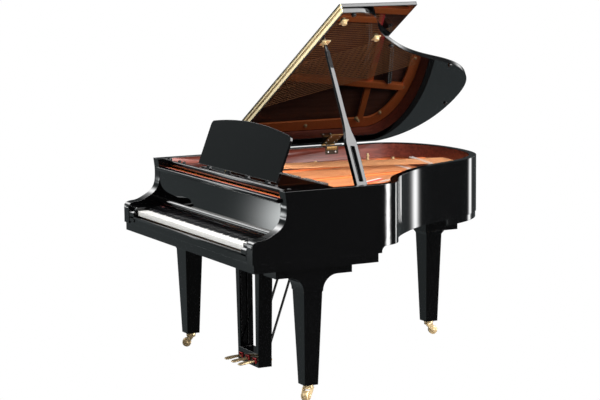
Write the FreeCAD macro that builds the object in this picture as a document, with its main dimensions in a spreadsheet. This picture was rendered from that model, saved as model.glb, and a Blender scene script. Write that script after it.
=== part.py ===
import FreeCAD, Part
import math
import os
import re
from types import SimpleNamespace

import Sketcher
from FreeCAD import Matrix, Placement, Rotation, Vector

# Grand piano with its lid open on the long prop.
# +X is the treble side, +Y the tail, +Z up; the origin is on the floor under the middle of the case.
# Depths count back from the front of the key slip. Lengths are millimetres, turns are degrees.

SIZES = {
    # Case
    "case_width": 1490, "case_length": 1702, "rim_top": 983, "rim_foot": 698, "rim_wall": 36,
    "side_straight": 650, "skirt_back": 678, "inner_wall": 45, "cove": 22,
    "tail_skirt": 32, "tail_skirt_inset": 4, "tail_skirt_wall": 14,
    "arm_wall": 60, "arm_reach": 5, "arm_throat": 167, "arm_back": 240,
    "ledge_wide": 34, "ledge_thick": 9, "ledge_back": 540,
    "glue_line": 0.3, "fit": 0.05, "overrun": 5,
    # Keybed, key slip and key blocks
    "bed_top": 666, "bed_thick": 41, "bed_depth": 638, "bed_inset": 3,
    "slip_thick": 12, "slip_top": 706, "block_top": 748, "block_back": 150, "block_gap": 3.8,
    # Back frame and soundboard
    "belly_wall": 40, "post_wide": 124, "post_high": 100,
    "board_bottom": 863, "board_thick": 9, "rib_high": 22, "rib_wide": 24,
    "bridge_wide": 26, "bridge_top": 914, "bass_bridge_top": 933, "bridge_notch": 886,
    # Pin block, plate, strings and tuning pins
    "block_front": 262, "pinblock_back": 440, "pinblock_thick": 25,
    "plate_bottom": 893, "plate_thick": 12, "plate_gap": 2, "plate_flange": 60, "hitch_inset": 50,
    "bay_front": 480, "strut_front": 400, "strut_wide": 34, "strut_top": 924,
    "hitch_bar": 35,
    "string_margin": 113, "strut_gap": 50, "bass_gap": 100, "agraffe_depth": 470,
    "string_level": 916, "string_radius": 0.8, "bass_level": 936, "bass_radius": 1.8,
    "pin_depth": 300, "pin_step": 40, "pin_radius": 3.4, "pin_high": 30,
    # Keys and key frame
    "key_block_wide": 72.18, "key_gap": 1.1, "key_top": 735, "key_stick": 24, "key_front": 17,
    "key_back": 430, "head_length": 49, "sharp_rise": 12, "sharp_length": 98,
    "sharp_draft": 2, "sharp_slope": 9,
    "balance_depth": 245, "rail_ridge": 6, "rail_wide": 40, "rail_high": 34, "front_rail_high": 30,
    "back_rail_front": 395, "back_rail_back": 462, "sleeper_wide": 60,
    # Hammers and dampers
    "strike_depth": 540, "hammer_top": 872, "hammer_high": 40, "hammer_wide": 7.5, "hammer_deep": 26,
    "shank_level": 815, "shank_radius": 2.5, "hammer_rail": 20, "hammer_rail_depth": 440, "bracket_wide": 8,
    "damper_depth": 600, "damper_wide": 8.5, "damper_long": 42, "damper_high": 22, "damper_seat": 0.25,
    "wire_radius": 1.2, "wire_aside": 3.5, "tray_top": 845, "tray_high": 15, "tray_deep": 24,
    # Fallboard
    "fall_gap": 2, "fall_pivot": 172, "fall_level": 768, "fall_roll": 14, "fall_face": 168, "fall_thick": 16,
    "fall_top": 943, "fall_lip": 16, "fall_lip_high": 18, "fall_pin": 5, "fall_pin_reach": 16,
    # Music shelf and desk
    "shelf_front": 243, "shelf_back": 536, "shelf_thick": 12, "shelf_rail": 18, "shelf_rail_low": 947,
    "shelf_rail_top": 970, "desk_axis": 285, "desk_level": 962, "desk_rod": 4, "desk_lean": 21,
    "desk_high": 227, "desk_arch": 28, "desk_corner": 25, "desk_thick": 12,
    "desk_ahead": 18, "desk_above": 13.4, "bearing_wide": 16, "bearing_deep": 16,
    "bearing_rise": 5.8, "lug_wide": 30,
    # Lid, flap and their hinges
    "lid_turn": 30.8, "lid_gap": 5, "lid_thick": 23, "lid_overhang": 6, "lid_split": 570,
    "flap_front": 165, "flap_thick": 18, "flap_inset": 4,
    "strip_leaf": 2, "strip_gap": 1, "strip_barrel": 3, "strip_pin": 1.3, "strip_drop": 18,
    "strip_knuckle": 24, "strip_slit": 0.4,
    "butt_leaf": 2, "butt_barrel": 5, "butt_pin": 2.5, "butt_knuckle": 26, "butt_slit": 0.4, "butt_side": 0.7,
    "butt_lid_reach": 120, "butt_rim_drop": 42,
    # Lid prop
    "prop_stand": 33, "prop_depth": 590, "prop_level": 955, "prop_lid_depth": 611,
    "prop_fold_turn": 35, "paddle_wide": 52, "paddle_thick": 16, "paddle_long": 300, "paddle_taper": 90,
    "stick_wide": 20, "stick_thick": 14, "prop_tip": 8, "prop_tip_long": 40, "prop_pin": 5,
    "slot_wide": 24, "slot_low": 44, "slot_high": 280, "short_wide": 20, "short_thick": 10, "short_pin": 3,
    "short_end": 7, "bracket_boss": 14, "bracket_plate": 5, "bracket_long": 60, "bracket_high": 50,
    "cup_plate": 3, "cup_side": 44, "cup_bore": 11, "cup_wall": 4, "cup_high": 12, "cup_seat": 0.7,
    # Legs and casters
    "leg_inset": 90, "leg_depth": 314, "tail_leg_inset": 167,
    "leg_top_x": 124, "leg_top_y": 98, "leg_foot_x": 67, "leg_foot_y": 68,
    "leg_block": 38, "leg_block_front": 190, "leg_block_back": 199, "corbel": 75,
    "tail_top_x": 113, "tail_top_y": 92, "tail_block": 138, "tail_block_wide": 130,
    "tail_block_front": 55, "tail_block_back": 138, "tail_corbel": 9,
    "caster_high": 74, "cup_radius": 24, "caster_cup": 12, "stem_radius": 6, "stem_long": 9,
    "wheel_radius": 23, "wheel_wide": 34, "wheel_round": 4, "axle_radius": 4,
    "fork_side": 4.5, "fork_gap": 0.5,
    "fork_bridge": 9, "fork_cheek": 16, "trail": 22, "bass_turn": -27, "treble_turn": 35, "tail_turn": 165,
    # Pedal lyre
    "lyre_front": 326, "lyre_deep": 72, "lyre_half": 113, "lyre_low": 37, "lyre_box_top": 104,
    "pillar_foot": 26, "pillar_head": 45, "pillar_out": 135, "lyre_head": 30, "lyre_head_half": 160,
    "brace_radius": 6, "brace_x": 60, "brace_low": 85, "brace_back": 590,
    "pedal_pitch": 75, "pedal_tip": 90, "pedal_wide": 20, "pedal_toe": 15, "pedal_thick": 10,
    "pedal_level": 64,
    "pedal_pivot": 370, "pedal_pin": 4, "pedal_heel": 416, "slot_side": 3, "slot_rise": 20,
    "rod_radius": 4, "rod_depth": 408, "rod_top": 655, "rod_seat": 0.5, "rod_bore": 0.4, "rod_point": 2,
}

# Shares of half the case width, and of the length behind the straight side, along the bent side to the spine.
BENT_SIDE_SHARES = (
    (0.950, 0.099), (0.805, 0.166), (0.627, 0.276), (0.448, 0.431), (0.324, 0.593), (0.252, 0.714),
    (0.120, 0.864), (-0.045, 0.954), (-0.203, 0.989), (-0.400, 1.0), (-0.599, 0.988), (-0.755, 0.954),
    (-0.907, 0.882), (-1.0, 0.737),
)
# Shares of the arm's reach and height along its front, from the top of the nose to the rim's top.
ARM_SHARES = (
    (0, 0.249), (0.047, 0.309), (0.128, 0.331), (0.349, 0.347), (0.610, 0.404), (0.831, 0.479),
    (0.948, 0.565), (1.0, 0.707), (1.0, 0.833), (0.960, 1.0),
)
# The same shares along the long bridge and the bass bridge.
BRIDGE_SHARES = (
    (0.790, -0.096), (0.765, -0.009), (0.670, 0.041), (0.554, 0.104), (0.381, 0.227), (0.260, 0.339),
    (0.125, 0.501), (-0.013, 0.592), (-0.200, 0.633), (-0.440, 0.643),
)
BASS_BRIDGE_SHARES = ((-0.560, 0.800), (-0.140, 0.742))
HITCH_BAR_SHARE = 0.684
TAIL_LEG_SHARE = -0.411
TAIL_SKIRT_SHARE = 0.65
PROP_LID_SHARE = 0.612
DESK_SHARE = 0.584
POST_SHARES = (-0.80, -0.05, 0.25)
RIB_SHARES = (0.12, 0.25, 0.38, 0.50, 0.63, 0.76, 0.87)
SLEEPER_SHARES = (-1, -0.34, 0.34, 1)
BRACKET_SHARES = (-0.97, -0.30, 0.30, 0.97)
BEARING_SHARES = (-0.92, 0, 0.92)
LUG_SHARES = (-0.75, -0.25, 0.25, 0.75)
BUTT_DEPTH_SHARES = (0.12, 0.50)
BASS_DRIFT_SHARE = 0.26
TENOR_DRIFT_SHARE = 0.14
OFFSET_STEPS = 30

# Turns in degrees, and the middle of a quarter arc
QUARTER_TURN = 90
HALF_TURN = 180
ARC_MIDDLE = math.pi / 4

# Directions
ALONG_X = Vector(1, 0, 0)
ALONG_Y = Vector(0, 1, 0)
UP = Vector(0, 0, 1)

# Point codes of a sketch
SKETCH_ROOT = -1
START_DOT = 1
END_DOT = 2

# Notes: the lowest key is an A, and each string section starts at one of these keys.
KEY_COUNT = 88
OCTAVE = 12
FIRST_STEP = 9
WHITE_STEPS = {0: 0, 2: 1, 4: 2, 5: 3, 7: 4, 9: 5, 11: 6}
STEP_NAMES = ("c", "c_sharp", "d", "d_sharp", "e", "f", "f_sharp", "g", "g_sharp", "a", "a_sharp", "b")
LOW_GROUP_WHITES = 3
LOW_GROUP_LEVERS = 5
OCTAVE_WHITES = 7
WHITE_COUNT = 52
MIDDLE_C = 39
TENOR_START = 20
SECTION_STARTS = (20, 46, 67)
DAMPER_COUNT = 66
PIN_ROWS = 3
BUTT_KNUCKLES = 3
CUBIC_MM_PER_CM = 1000
PEDALS = ("soft", "sostenuto", "damper")

doc = FreeCAD.newDocument("GrandPiano")
sheet = doc.addObject("Spreadsheet::Sheet", "Sizes")
for row, (alias, value) in enumerate(SIZES.items(), 1):
    sheet.set(f"A{row}", alias)
    sheet.set(f"B{row}", str(value))
    sheet.setAlias(f"B{row}", alias)
doc.recompute()
size = SimpleNamespace(**{alias: float(getattr(sheet, alias)) for alias in SIZES})
nodes = []

# Sizes that follow from the case
HALF = "case_width/2"
KEYBOARD_HALF = "(case_width/2-arm_wall-key_block_wide)"
DESK_HALF = f"({DESK_SHARE}*case_width/2)"
LEG_X = "(case_width/2-leg_inset)"
TAIL_LEG_X = f"({TAIL_LEG_SHARE}*case_width/2)"
TAIL_LEG_DEPTH = "(case_length-tail_leg_inset)"
half_width = size.case_width / 2
keyboard_half = half_width - size.arm_wall - size.key_block_wide
white_pitch = 2 * keyboard_half / WHITE_COUNT
desk_half = DESK_SHARE * half_width
leg_x = half_width - size.leg_inset
tail_leg_x = TAIL_LEG_SHARE * half_width
tail_leg_depth = size.case_length - size.tail_leg_inset
string_half = half_width - size.rim_wall - size.string_margin
string_gaps = size.bass_gap + (len(SECTION_STARTS) - 1) * size.strut_gap
string_pitch = (2 * string_half - string_gaps) / (KEY_COUNT - 1)
INSIDE = "(case_width/2-rim_wall-glue_line)"


# Helpers for objects bound to the sheet

def link(text):
    """Turn the alias words of an expression into references to the sheet."""
    def reference(word):
        return "Sizes." + word.group() if word.group() in SIZES else word.group()

    return re.sub(r"[a-z][a-z_]*", reference, text)


def depth(text):
    """Expression for the Y of a depth behind the key slip's front."""
    return f"({text})-case_length/2"


def bind(item, **expressions):
    """Bind properties of an object to expressions and return it."""
    for name, text in expressions.items():
        item.setExpression(name, link(text))
    return item


def place(item, x, d, z, rotation=Rotation()):
    """Bind an object's place to expressions, after giving it a fixed turn."""
    item.Placement = Placement(Vector(), rotation)
    for axis, text in zip("xyz", (x, depth(d), z)):
        item.setExpression(f"Placement.Base.{axis}", link(text))
    return item


def box(name, x, d, z):
    """Box between pairs of expressions."""
    item = doc.addObject("Part::Box", name)
    bind(item, Length=f"({x[1]})-({x[0]})", Width=f"({d[1]})-({d[0]})", Height=f"({z[1]})-({z[0]})")
    return place(item, x[0], d[0], z[0])


def rod(name, radius, length, x, d, z, rotation=Rotation()):
    """Cylinder of an expression's radius and length that starts at a place."""
    item = bind(doc.addObject("Part::Cylinder", name), Radius=radius, Height=length)
    return place(item, x, d, z, rotation)


def group(kind, name, items):
    """Compound or union of several objects."""
    item = doc.addObject(kind, name)
    if kind == "Part::Compound":
        item.Links = items
    else:
        item.Shapes = items
    return item


def cut(name, base, tool):
    """One object with another taken out of it."""
    item = doc.addObject("Part::Cut", name)
    item.Base = base
    item.Tool = tool
    return item


def keep(item):
    """Count an object as a finished sub-part."""
    nodes.append(item)
    return item


def feature(name, shape, placement=None):
    """Sub-part whose shape comes from curves or repeats that no primitive holds."""
    item = doc.addObject("Part::Feature", name)
    item.Shape = shape
    if placement:
        item.Placement = placement
    return keep(item)


# Helpers for plain shapes

def back(value):
    """Y of a depth behind the key slip's front."""
    return value - size.case_length / 2


def along(share):
    """Depth at a share of the length behind the straight side."""
    return size.side_straight + share * (size.case_length - size.side_straight)


def brick(x, d, z):
    """Plain block between pairs of numbers."""
    corner = Vector(x[0], back(d[0]), z[0])
    return Part.makeBox(x[1] - x[0], d[1] - d[0], z[1] - z[0], corner)


def prism(points, span):
    """Straight prism over a closed outline of points."""
    return Part.Face(Part.makePolygon(points + points[:1])).extrude(span)


def shifted(curve, inset):
    """The curve moved to its left by a distance, as one smooth curve."""
    first, last = curve.FirstParameter, curve.LastParameter
    moved = []
    for step in range(OFFSET_STEPS + 1):
        at = first + (last - first) * step / OFFSET_STEPS
        tangent = curve.tangent(at)[0]
        moved.append(curve.value(at) + Vector(-tangent.y, tangent.x, 0) * inset)
    result = Part.BSplineCurve()
    ends = [curve.tangent(at)[0] for at in (first, last)]
    result.interpolate(Points=moved, InitialTangent=ends[0], FinalTangent=ends[1], Scale=False)
    return result


def bent_side(inset):
    """Curve from the end of the straight treble side round the tail to the spine."""
    half = size.case_width / 2
    points = [Vector(half, back(size.side_straight), 0)]
    points += [Vector(x * half, back(along(y)), 0) for x, y in BENT_SIDE_SHARES]
    curve = Part.BSplineCurve()
    curve.interpolate(Points=points, InitialTangent=ALONG_Y, FinalTangent=-ALONG_Y, Scale=False)
    return shifted(curve, inset) if inset else curve


def slab(inset, front, low, high):
    """Plan of the case moved in by an inset and cut off at a depth, between two heights."""
    half = size.case_width / 2 - inset
    curve = bent_side(inset)
    near = min(front, size.side_straight - size.overrun)
    treble = Vector(half, back(near), 0)
    bass = Vector(-half, back(near), 0)
    start, end = curve.value(curve.FirstParameter), curve.value(curve.LastParameter)
    edges = [Part.LineSegment(treble, start).toShape(), curve.toShape()]
    edges += [Part.LineSegment(end, bass).toShape(), Part.LineSegment(bass, treble).toShape()]
    face = Part.Face(Part.Wire(edges))
    face.translate(Vector(0, 0, low))
    solid = face.extrude(Vector(0, 0, high - low))
    if near == front:
        return solid
    return solid.cut(brick((-size.case_width, size.case_width), (near - size.overrun, front), (low, high)))


def column(radius, start, end):
    """Round bar between two points."""
    return Part.makeCylinder(radius, (end - start).Length, start, end - start)


# Case

def arm_profile(x):
    """Side view of an arm at a given X."""
    reach = size.arm_throat + size.arm_reach
    high = size.rim_top - size.bed_top
    nose = [Vector(x, back(a * reach - size.arm_reach), size.bed_top + b * high) for a, b in ARM_SHARES]
    sweep = Part.BSplineCurve()
    sweep.interpolate(Points=nose)
    corners = [
        nose[-1],
        Vector(x, back(size.arm_back), size.rim_top),
        Vector(x, back(size.arm_back), size.bed_top),
        Vector(x, back(-size.arm_reach), size.bed_top),
        nose[0],
    ]
    lines = [Part.LineSegment(a, b).toShape() for a, b in zip(corners, corners[1:])]
    return Part.Face(Part.Wire([sweep.toShape()] + lines))


def skirt_profile(x):
    """Side view of the rim's deeper front stretch, which ends in a cove."""
    near, far = back(size.arm_back), back(size.skirt_back)
    low, high = size.bed_top, size.rim_foot
    foot = Vector(x, far - size.cove, low)
    middle = Vector(x, far - size.cove * math.cos(ARC_MIDDLE), low + (high - low) * math.sin(ARC_MIDDLE))
    cove = Part.Arc(foot, middle, Vector(x, far, high))
    corners = [Vector(x, far, high), Vector(x, near, high), Vector(x, near, low), foot]
    lines = [Part.LineSegment(a, b).toShape() for a, b in zip(corners, corners[1:])]
    return Part.Face(Part.Wire([cove.toShape()] + lines))


def make_rim():
    """Outer rim with its arms, the ledges for the music shelf and the bores for the fallboard's pins."""
    half = size.case_width / 2
    over = size.overrun
    ring = slab(0, size.arm_back, size.rim_foot, size.rim_top)
    ring = ring.cut(slab(size.rim_wall, size.arm_back - over, size.rim_foot - over, size.rim_top + over))
    ledge_top = size.shelf_rail_low - size.shelf_thick + size.desk_rod - size.glue_line
    plan = slab(0, size.arm_back, size.bed_top, size.rim_foot)
    tail_front, tail_foot = along(TAIL_SKIRT_SHARE), size.rim_foot - size.tail_skirt
    tail_room = size.tail_skirt_inset + size.tail_skirt_wall
    tail_skirt = slab(size.tail_skirt_inset, tail_front, tail_foot, size.rim_foot)
    pieces = [tail_skirt.cut(slab(tail_room, tail_front - over, tail_foot - over, size.rim_foot + over))]
    bores = []
    for side in (-1, 1):
        outer = side * half
        inner = outer - side * size.rim_wall
        pieces.append(arm_profile(outer).extrude(Vector(-side * size.arm_wall, 0, 0)))
        pieces.append(skirt_profile(outer).extrude(Vector(-side * size.rim_wall, 0, 0)).common(plan))
        reach = sorted((inner, inner - side * size.ledge_wide))
        ledge_span = (ledge_top - size.ledge_thick, ledge_top)
        pieces.append(brick(reach, (size.arm_back, size.ledge_back), ledge_span))
        pivot = Vector(outer - side * size.arm_wall, back(size.fall_pivot), size.fall_level)
        depth_in = Vector(side * (size.fall_pin_reach + size.fall_gap), 0, 0)
        bores.append(column(size.fall_pin + size.fit, pivot - depth_in, pivot + depth_in))
    return ring.fuse(pieces).removeSplitter().cut(Part.makeCompound(bores))


feature("rim", make_rim())

belly_back = size.bed_depth + size.glue_line + size.belly_wall
inner_inset = size.rim_wall + size.glue_line
post_inset = inner_inset + size.inner_wall + size.glue_line
ring_front, ring_foot = belly_back - size.overrun, size.rim_foot - size.overrun
ring_in = slab(inner_inset + size.inner_wall, ring_front, ring_foot, size.rim_top)
feature("inner_rim", slab(inner_inset, belly_back, size.rim_foot, size.board_bottom).cut(ring_in))


def make_back_posts():
    """Belly rail across the case and the posts that run from it to the tail."""
    wide = size.case_width / 2 - inner_inset
    front = size.bed_depth + size.glue_line
    rail = brick((-wide, wide), (front, belly_back), (size.rim_foot, size.board_bottom))
    solids = [rail.common(slab(inner_inset, front, size.rim_foot, size.board_bottom))]
    room = slab(post_inset, belly_back, size.rim_foot, size.rim_foot + size.post_high)
    places = [share * half_width for share in POST_SHARES] + [tail_leg_x]
    for x in places:
        sides = (x - size.post_wide / 2, x + size.post_wide / 2)
        bar = brick(sides, (belly_back, size.case_length), (size.rim_foot, size.rim_top))
        solids.append(room.common(bar))
    return Part.makeCompound(solids)


feature("back_posts", make_back_posts())

# Keybed with bores for the pedal rods
bed_sides = (f"-{HALF}+bed_inset", f"{HALF}-bed_inset")
bed = box("bed_board", bed_sides, ("bed_inset", "bed_depth"), ("bed_top-bed_thick", "bed_top"))
bed_bores = []
for number, pedal in enumerate(PEDALS, -1):
    start = (f"{number}*pedal_pitch", "rod_depth", "bed_top-bed_thick-overrun")
    bed_bores.append(rod(f"{pedal}_bed_bore", "rod_radius+rod_bore", "bed_thick+2*overrun", *start))
keep(cut("keybed", bed, group("Part::Compound", "bed_bores", bed_bores)))

arm_inside = "(case_width/2-arm_wall-glue_line)"
keep(box("key_slip", (f"-{arm_inside}", arm_inside), ("0", "slip_thick"), ("bed_top", "slip_top")))
BLOCK_SIDES = {
    "bass": (f"-{arm_inside}", f"-{KEYBOARD_HALF}-block_gap"),
    "treble": (f"{KEYBOARD_HALF}+block_gap", arm_inside),
}
blocks = []
for side, x in BLOCK_SIDES.items():
    blocks.append(box(f"{side}_key_block", x, ("slip_thick", "block_back"), ("bed_top", "block_top")))
keep(group("Part::Compound", "key_blocks", blocks))


# Strings in plan

def string_line(index):
    """Plan X of a note's string at the agraffes, and its sideways drift per unit of depth."""
    x = -string_half + index * string_pitch
    for number, start in enumerate(SECTION_STARTS):
        if index >= start:
            x += size.strut_gap if number else size.bass_gap
    if index < TENOR_START:
        return x, BASS_DRIFT_SHARE
    return x, -TENOR_DRIFT_SHARE * (1 - (index - TENOR_START) / (KEY_COUNT - TENOR_START))


def on_string(index, at, level):
    """Point of a note's string line at a depth."""
    x, drift = string_line(index)
    return Vector(x + drift * (at - size.agraffe_depth), back(at), level)


def strut_bar(start, low, high, grow=0):
    """Slanted bar in the gap in front of a string section."""
    x, drift = string_line(start)
    x -= (size.strut_gap + string_pitch) / 2
    half = size.strut_wide / 2 + grow
    near, far = size.strut_front, size.case_length
    corners = []
    for at, side in ((near, -half), (near, half), (far, half), (far, -half)):
        corners.append(Vector(x + drift * (at - size.agraffe_depth) + side, back(at), low))
    return prism(corners, Vector(0, 0, high - low))


# Soundboard, its ribs and bridges

def make_soundboard():
    """Spruce panel on the inner rim, ribs under it and two bridges on it."""
    front = size.bed_depth + size.glue_line
    top = size.board_bottom + size.board_thick
    half = size.case_width / 2
    solids = [slab(inner_inset, front, size.board_bottom, top)]
    room = slab(post_inset, belly_back, size.board_bottom - size.rib_high, size.board_bottom)
    for share in RIB_SHARES:
        at = along(share)
        rib = brick((-half, half), (at, at + size.rib_wide), (size.rim_foot, size.board_bottom))
        solids.append(room.common(rib))
    points = [Vector(x * half, back(along(y)), top) for x, y in BRIDGE_SHARES]
    middle = Part.BSplineCurve()
    middle.interpolate(points)
    edges = [shifted(middle, side * size.bridge_wide / 2) for side in (-1, 1)]
    band = Part.makeRuledSurface(edges[0].toShape(), edges[1].toShape())
    long_bridge = band.extrude(Vector(0, 0, size.bridge_top - top))
    if long_bridge.Volume < 0:
        long_bridge.reverse()
    for start in SECTION_STARTS:
        long_bridge = long_bridge.cut(strut_bar(start, size.bridge_notch, size.rim_top, size.overrun))
    solids.append(long_bridge.common(brick((-half, half), (front, size.case_length), (top, size.rim_top))))
    near, far = [Vector(x * half, back(along(y)), top) for x, y in BASS_BRIDGE_SHARES]
    across = (far - near).cross(UP).normalize() * size.bridge_wide / 2
    corners = [near - across, far - across, far + across, near + across]
    solids.append(prism(corners, Vector(0, 0, size.bass_bridge_top - top)))
    return Part.makeCompound(solids)


feature("soundboard", make_soundboard())
block_levels = ("plate_bottom-pinblock_thick", "plate_bottom")
keep(box("pinblock", (f"-{INSIDE}", INSIDE), ("block_front", "pinblock_back"), block_levels))


def make_plate():
    """Iron plate: a web over the pin block, a flange round the case, a hitch bar and raised struts."""
    low, high = size.plate_bottom, size.plate_bottom + size.plate_thick
    bay_inset = size.rim_wall + size.plate_flange
    bars = [strut_bar(start, low - size.overrun, size.strut_top) for start in SECTION_STARTS]
    wide = size.case_width / 2
    hitch_at = along(HITCH_BAR_SHARE)
    levels = (low - size.overrun, high + size.overrun)
    hitch = brick((-wide, wide), (hitch_at, hitch_at + size.hitch_bar), levels)
    room = slab(bay_inset, size.bay_front, *levels)
    bays = room.cut(Part.makeCompound([hitch])).cut(Part.makeCompound(bars))
    web = slab(size.rim_wall + size.plate_gap, size.block_front, low, high).cut(bays)
    reach = slab(bay_inset - size.overrun, size.strut_front, high - size.overrun, size.strut_top)
    return web.fuse([reach.common(bar) for bar in bars]).removeSplitter()


feature("iron_plate", make_plate())


def make_pins():
    """One tuning pin per note, in staggered rows on the plate's web."""
    plate_top = size.plate_bottom + size.plate_thick
    pins = []
    for index in range(KEY_COUNT):
        foot = on_string(index, size.pin_depth + (index % PIN_ROWS) * size.pin_step, plate_top)
        pins.append(Part.makeCylinder(size.pin_radius, size.pin_high, foot))
    return Part.makeCompound(pins)


feature("tuning_pins", make_pins())


def make_strings(first, last, level, radius):
    """Straight strings from their tuning pins to the hitch line."""
    inset = size.rim_wall + size.hitch_inset
    room = slab(inset, size.agraffe_depth, level - size.overrun, level + size.overrun)
    strings = []
    for index in range(first, last):
        start_at = size.pin_depth + (index % PIN_ROWS) * size.pin_step + size.pin_radius + size.damper_seat
        start = on_string(index, start_at, level)
        limit = size.case_length if index < TENOR_START else along(HITCH_BAR_SHARE) + size.hitch_bar / 2
        line = Part.makeLine(on_string(index, size.agraffe_depth, level), on_string(index, limit, level))
        end = max((vertex.Point for vertex in room.common(line).Vertexes), key=lambda point: point.y)
        strings.append(column(radius, start, end))
    return Part.makeCompound(strings)


feature("bass_strings", make_strings(0, TENOR_START, size.bass_level, size.bass_radius))
feature("treble_strings", make_strings(TENOR_START, KEY_COUNT, size.string_level, size.string_radius))


# Keys

def is_white(index):
    """Whether a key of the keyboard is a white one."""
    return (index + FIRST_STEP) % OCTAVE in WHITE_STEPS


def lever_sides(index):
    """X of the two sides of a key's lever, and of its head if it is white."""
    octave, step = divmod(index + FIRST_STEP, OCTAVE)
    pitch = white_pitch
    left = -keyboard_half + (octave * OCTAVE_WHITES - WHITE_STEPS[FIRST_STEP]) * pitch
    low_wide = LOW_GROUP_WHITES * pitch / LOW_GROUP_LEVERS
    high_wide = (OCTAVE_WHITES - LOW_GROUP_WHITES) * pitch / (OCTAVE - LOW_GROUP_LEVERS)
    if step < LOW_GROUP_LEVERS:
        start, wide = left + step * low_wide, low_wide
    else:
        start, wide = left + LOW_GROUP_WHITES * pitch + (step - LOW_GROUP_LEVERS) * high_wide, high_wide
    half_gap = size.key_gap / 2
    lever = (start + half_gap, start + wide - half_gap)
    if step not in WHITE_STEPS:
        return lever, None
    head = left + WHITE_STEPS[step] * pitch
    return lever, (head + half_gap, head + pitch - half_gap)


def make_key(index):
    """One key: a white one with its wide head, or a black one with its raised sharp."""
    lever, head = lever_sides(index)
    low, top = size.key_top - size.key_stick, size.key_top
    shoulder = size.key_front + size.head_length
    if head:
        wide = brick(head, (size.key_front, shoulder), (low, top))
        return wide.fuse(brick(lever, (shoulder, size.key_back), (low, top))).removeSplitter()
    start = shoulder + size.key_gap
    stick_top = top - size.sharp_draft
    stick = brick(lever, (start, size.key_back), (low, stick_top))
    end = start + size.sharp_length
    levels = ((stick_top, 0, 0), (top + size.sharp_rise, size.sharp_draft, size.sharp_slope))
    rings = []
    for z, draft, slope in levels:
        left, right = lever[0] + draft, lever[1] - draft
        near, far = back(start + slope), back(end)
        corners = [Vector(left, near, z), Vector(right, near, z), Vector(right, far, z), Vector(left, far, z)]
        rings.append(Part.makePolygon(corners + corners[:1]))
    return stick.fuse(Part.makeLoft(rings, True, True)).removeSplitter()


octave_keys = range(MIDDLE_C, MIDDLE_C + OCTAVE)
rest_of_keys = [index for index in range(KEY_COUNT) if index not in octave_keys]
feature("white_keys", Part.makeCompound([make_key(index) for index in rest_of_keys if is_white(index)]))
feature("black_keys", Part.makeCompound([make_key(index) for index in rest_of_keys if not is_white(index)]))
for index in octave_keys:
    feature("key_" + STEP_NAMES[index - MIDDLE_C], make_key(index))


# Key frame, hammers and dampers

def make_key_frame():
    """Three rails on sleepers that slide on the keybed; the keys rock on a rounded ridge."""
    half = keyboard_half
    foot = size.bed_top + size.glue_line
    seat = size.key_top - size.key_stick - size.glue_line
    rail_top = foot + size.rail_high
    near = size.key_front + size.glue_line
    balance = size.balance_depth
    ridge = size.rail_ridge / 2
    rails = [
        brick((-half, half), (near, near + size.rail_wide), (foot, foot + size.front_rail_high)),
        brick((-half, half), (balance - size.rail_wide / 2, balance + size.rail_wide / 2), (foot, rail_top)),
        brick((-half, half), (balance - ridge, balance + ridge), (rail_top, seat - ridge)),
        column(ridge, Vector(-half, back(balance), seat - ridge), Vector(half, back(balance), seat - ridge)),
        brick((-half, half), (size.back_rail_front, size.back_rail_back), (foot, rail_top)),
        brick((-half, half), (size.key_back - size.rail_wide / 2, size.key_back), (rail_top, seat)),
    ]
    for share in SLEEPER_SHARES:
        x = share * (half - size.sleeper_wide / 2)
        sides = (x - size.sleeper_wide / 2, x + size.sleeper_wide / 2)
        rails.append(brick(sides, (near, size.back_rail_back), (foot, foot + size.front_rail_high)))
    return rails[0].fuse(rails[1:]).removeSplitter()


feature("key_frame", make_key_frame())


def make_hammers():
    """Hammer rail on brackets, with a shank and a felted head under each string."""
    half = keyboard_half
    near = size.hammer_rail_depth
    far = near + size.hammer_rail
    low = size.shank_level - size.hammer_rail / 2
    foot = size.bed_top + size.glue_line + size.rail_high
    rail = brick((-half, half), (near, far), (low, low + size.hammer_rail))
    stands = []
    for share in BRACKET_SHARES:
        x = share * half
        stands.append(brick((x, x + size.bracket_wide), (near, far), (foot, low)))
    solids = [rail.fuse(stands).removeSplitter()]
    for index in range(KEY_COUNT):
        at = on_string(index, size.strike_depth, size.shank_level)
        start = Vector(at.x, back(far), size.shank_level)
        shank = column(size.shank_radius, start, at)
        sides = (at.x - size.hammer_wide / 2, at.x + size.hammer_wide / 2)
        strike = size.strike_depth
        reach = (strike - size.hammer_deep / 2, strike + size.hammer_deep / 2)
        base = size.hammer_top - size.hammer_high
        neck = brick(sides, (strike - size.hammer_wide / 2, strike + size.hammer_wide / 2), (low, base))
        felt = brick(sides, reach, (base, size.hammer_top))
        solids.append(shank.fuse([neck, felt]).removeSplitter())
    return Part.makeCompound(solids)


feature("hammers", make_hammers())


def make_dampers():
    """Damper heads on the strings, each on a wire that stands on one lifting tray."""
    ends = [on_string(index, size.damper_depth, size.tray_top).x for index in (0, DAMPER_COUNT - 1)]
    sides = (ends[0] - size.tray_deep, ends[1] + size.tray_deep)
    reach = (size.damper_depth - size.tray_deep / 2, size.damper_depth + size.tray_deep / 2)
    tray = brick(sides, reach, (size.tray_top - size.tray_high, size.tray_top))
    solids = [tray]
    for index in range(DAMPER_COUNT):
        bass = index < TENOR_START
        level = size.bass_level + size.bass_radius if bass else size.string_level + size.string_radius
        level += size.damper_seat
        at = on_string(index, size.damper_depth, level)
        wide = (at.x - size.damper_wide / 2, at.x + size.damper_wide / 2)
        long = (size.damper_depth - size.damper_long / 2, size.damper_depth + size.damper_long / 2)
        head = brick(wide, long, (level, level + size.damper_high))
        foot = Vector(at.x + size.wire_aside, at.y, size.tray_top)
        wire = column(size.wire_radius, foot, Vector(foot.x, foot.y, level + size.wire_radius))
        solids.append(head.fuse(wire).removeSplitter())
    return Part.makeCompound(solids)


feature("dampers", make_dampers())


# Fallboard

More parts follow.
